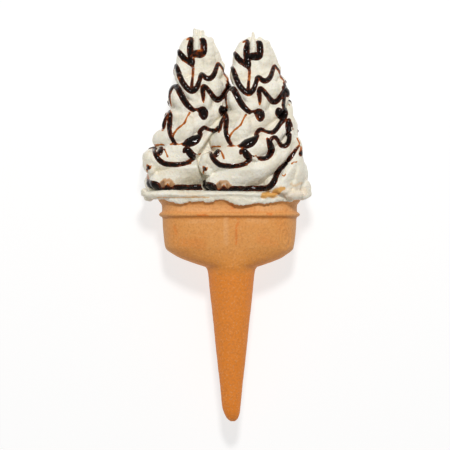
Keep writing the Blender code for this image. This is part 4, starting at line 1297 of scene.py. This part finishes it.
def sauce_field(points, strands):
    """How far each point is past the nearest strand, the sauce's height and the depth of its rim."""
    past = np.full(len(points), FAR)
    total = np.zeros(len(points))
    rim = np.zeros(len(points))
    for line, radii, slope_share in strands:
        margin = radii.max() + SAUCE_SEARCH
        near = ((points > line.min(axis=0) - margin) & (points < line.max(axis=0) + margin)).all(axis=1)
        if not near.any():
            continue
        edge, across, half = strand_field(points[near], line, radii, slope_share)
        thin = np.minimum(half / THIN_HALF_WIDTH, 1.0) ** THIN_FALL
        top = DOME * half * thin / (1.0 + half / DOME_WIDTH_LIMIT)
        height = top * (1.0 - np.minimum(across, SAUCE_ACROSS) ** 2)
        past[near] = np.minimum(past[near], edge)
        rim[near] = np.maximum(rim[near], RIM_SHARE * top * (across < RIM_ACROSS))
        total[near] += np.exp(np.maximum(height, SAUCE_LOWEST) / SAUCE_BLEND)
    height = SAUCE_BLEND * np.log(np.maximum(total, TINY))
    return past, height + uneven(points, SAUCE_LUMPS), rim


def sheet_near(mesh, past):
    """The part of a mesh's surface near the sauce, made finer and smoother."""
    quads = read_quads(mesh)
    quads = quads[(past[quads] < SAUCE_REACH).any(axis=1)]
    used, index = np.unique(quads, return_inverse=True)
    sheet = bpy.data.meshes.new("sheet")
    sheet.from_pydata(read_points(mesh)[used].tolist(), [], index.reshape(-1, 4).tolist())
    obj = link(sheet, "sheet")
    finer = obj.modifiers.new("finer", "SUBSURF")
    finer.levels = 1
    finer.render_levels = 1
    apply_modifiers(obj)
    mesh = obj.data
    bpy.data.objects.remove(obj, do_unlink=True)
    return mesh


def closed_shell(name, top, bottom, quads):
    """Mesh of a sheet's top and bottom, with walls along its open edges."""
    sides = [np.stack((quads[:, i], quads[:, (i + 1) % 4]), axis=1) for i in range(4)]
    sides = np.concatenate(sides).tolist()
    keys = {tuple(edge) for edge in sides}
    count = len(top)
    walls = [(b, a, a + count, b + count) for a, b in sides if (b, a) not in keys]
    faces = quads.tolist() + (quads[:, ::-1] + count).tolist() + walls
    shell = np.concatenate((top, bottom))
    shell[:, 2] = np.maximum(shell[:, 2], -ORIGIN.z)
    mesh = bpy.data.meshes.new(name)
    mesh.from_pydata(shell.tolist(), [], faces)
    return mesh


def make_sauce(name, cream, swirl, cover):
    """Domed strands of sauce that follow the cream's surface, closed underneath it."""
    tree = surface_tree(cream)
    strands = [run for route in SAUCE for run in drape(tree, cover, swirl, route)]
    strands += [drape_flank(tree, swirl, *row) for row in FLANK_STRANDS if row[0] == swirl["flank"]]
    past, _, _ = sauce_field(read_points(cream.data), strands)
    sheet = sheet_near(cream.data, past)
    _, height, rim_depth = sauce_field(read_points(sheet), strands)
    height = np.maximum(height, -SAUCE_EDGE_SINK)
    top = raise_skin(sheet, height)
    bottom = raise_skin(sheet, np.full(len(top), -SAUCE_BACK_SINK))
    mesh = closed_shell(f"sauce_{name}", top, bottom, read_quads(sheet))
    depth = np.maximum(height, rim_depth)
    write_value(mesh, "sauce_depth", np.concatenate((depth, depth)).clip(0.0, 1.0))
    obj = link(mesh, f"sauce_{name}")
    fewer = obj.modifiers.new("fewer", "DECIMATE")
    fewer.ratio = SAUCE_KEPT
    apply_modifiers(obj)
    return obj


def make_cream():
    cream = cream_material()
    sauce = sauce_material()
    bodies = {name: make_swirl(name, swirl) for name, swirl in SWIRLS.items()}
    covers = {"left": surface_tree(bodies["right"]), "right": None}
    for name, body in bodies.items():
        strands = make_sauce(name, body, SWIRLS[name], covers[name])
        place(strands, "ice_cream", sauce)
    for body in bodies.values():
        place(body, "ice_cream", cream)
    place(make_slab(), "ice_cream", cream)


# Stage


def make_floor():
    bm = bmesh.new()
    bmesh.ops.create_grid(bm, x_segments=1, y_segments=1, size=FLOOR_HALF_SIZE)
    floor = link(finish_mesh(bm, "floor"), "floor")
    floor.data.materials.append(floor_material())


def make_camera():
    """Straight above the part, with the photograph's frame and scale."""
    data = bpy.data.cameras.new("camera")
    data.sensor_width = SENSOR
    data.lens = SENSOR * CAMERA_DISTANCE / (PHOTO_SIZE * MM_PER_PIXEL * METRES_PER_MM)
    data.clip_end = CAMERA_SEES
    camera = bpy.data.objects.new("camera", data)
    bpy.context.scene.collection.objects.link(camera)
    middle = 0.5 * PHOTO_SIZE
    x = (middle - RIM_PIXEL[0]) * MM_PER_PIXEL
    y = (RIM_PIXEL[1] - middle) * MM_PER_PIXEL
    spot = TO_FRAME @ Vector((x, y, 0.0))
    camera.location = (spot.x, spot.y, CAMERA_FOCUS_Z + CAMERA_DISTANCE)
    bpy.context.scene.camera = camera


def make_light():
    data = bpy.data.lights.new("key", "AREA")
    data.size = KEY_SIZE
    data.energy = KEY_POWER
    light = bpy.data.objects.new("key", data)
    bpy.context.scene.collection.objects.link(light)
    light.location = KEY_SPOT
    light.rotation_euler = (-Vector(KEY_SPOT)).to_track_quat("-Z", "Y").to_euler()


def make_sky():
    world = bpy.data.worlds.new("studio")
    world.use_nodes = True
    background = world.node_tree.nodes["Background"]
    background.inputs["Color"].default_value = SKY_COLOUR
    background.inputs["Strength"].default_value = SKY_STRENGTH
    bpy.context.scene.world = world
    bpy.context.scene.view_settings.view_transform = "Standard"


make_camera()
make_light()
make_sky()
make_floor()
make_wafer()
make_cream()
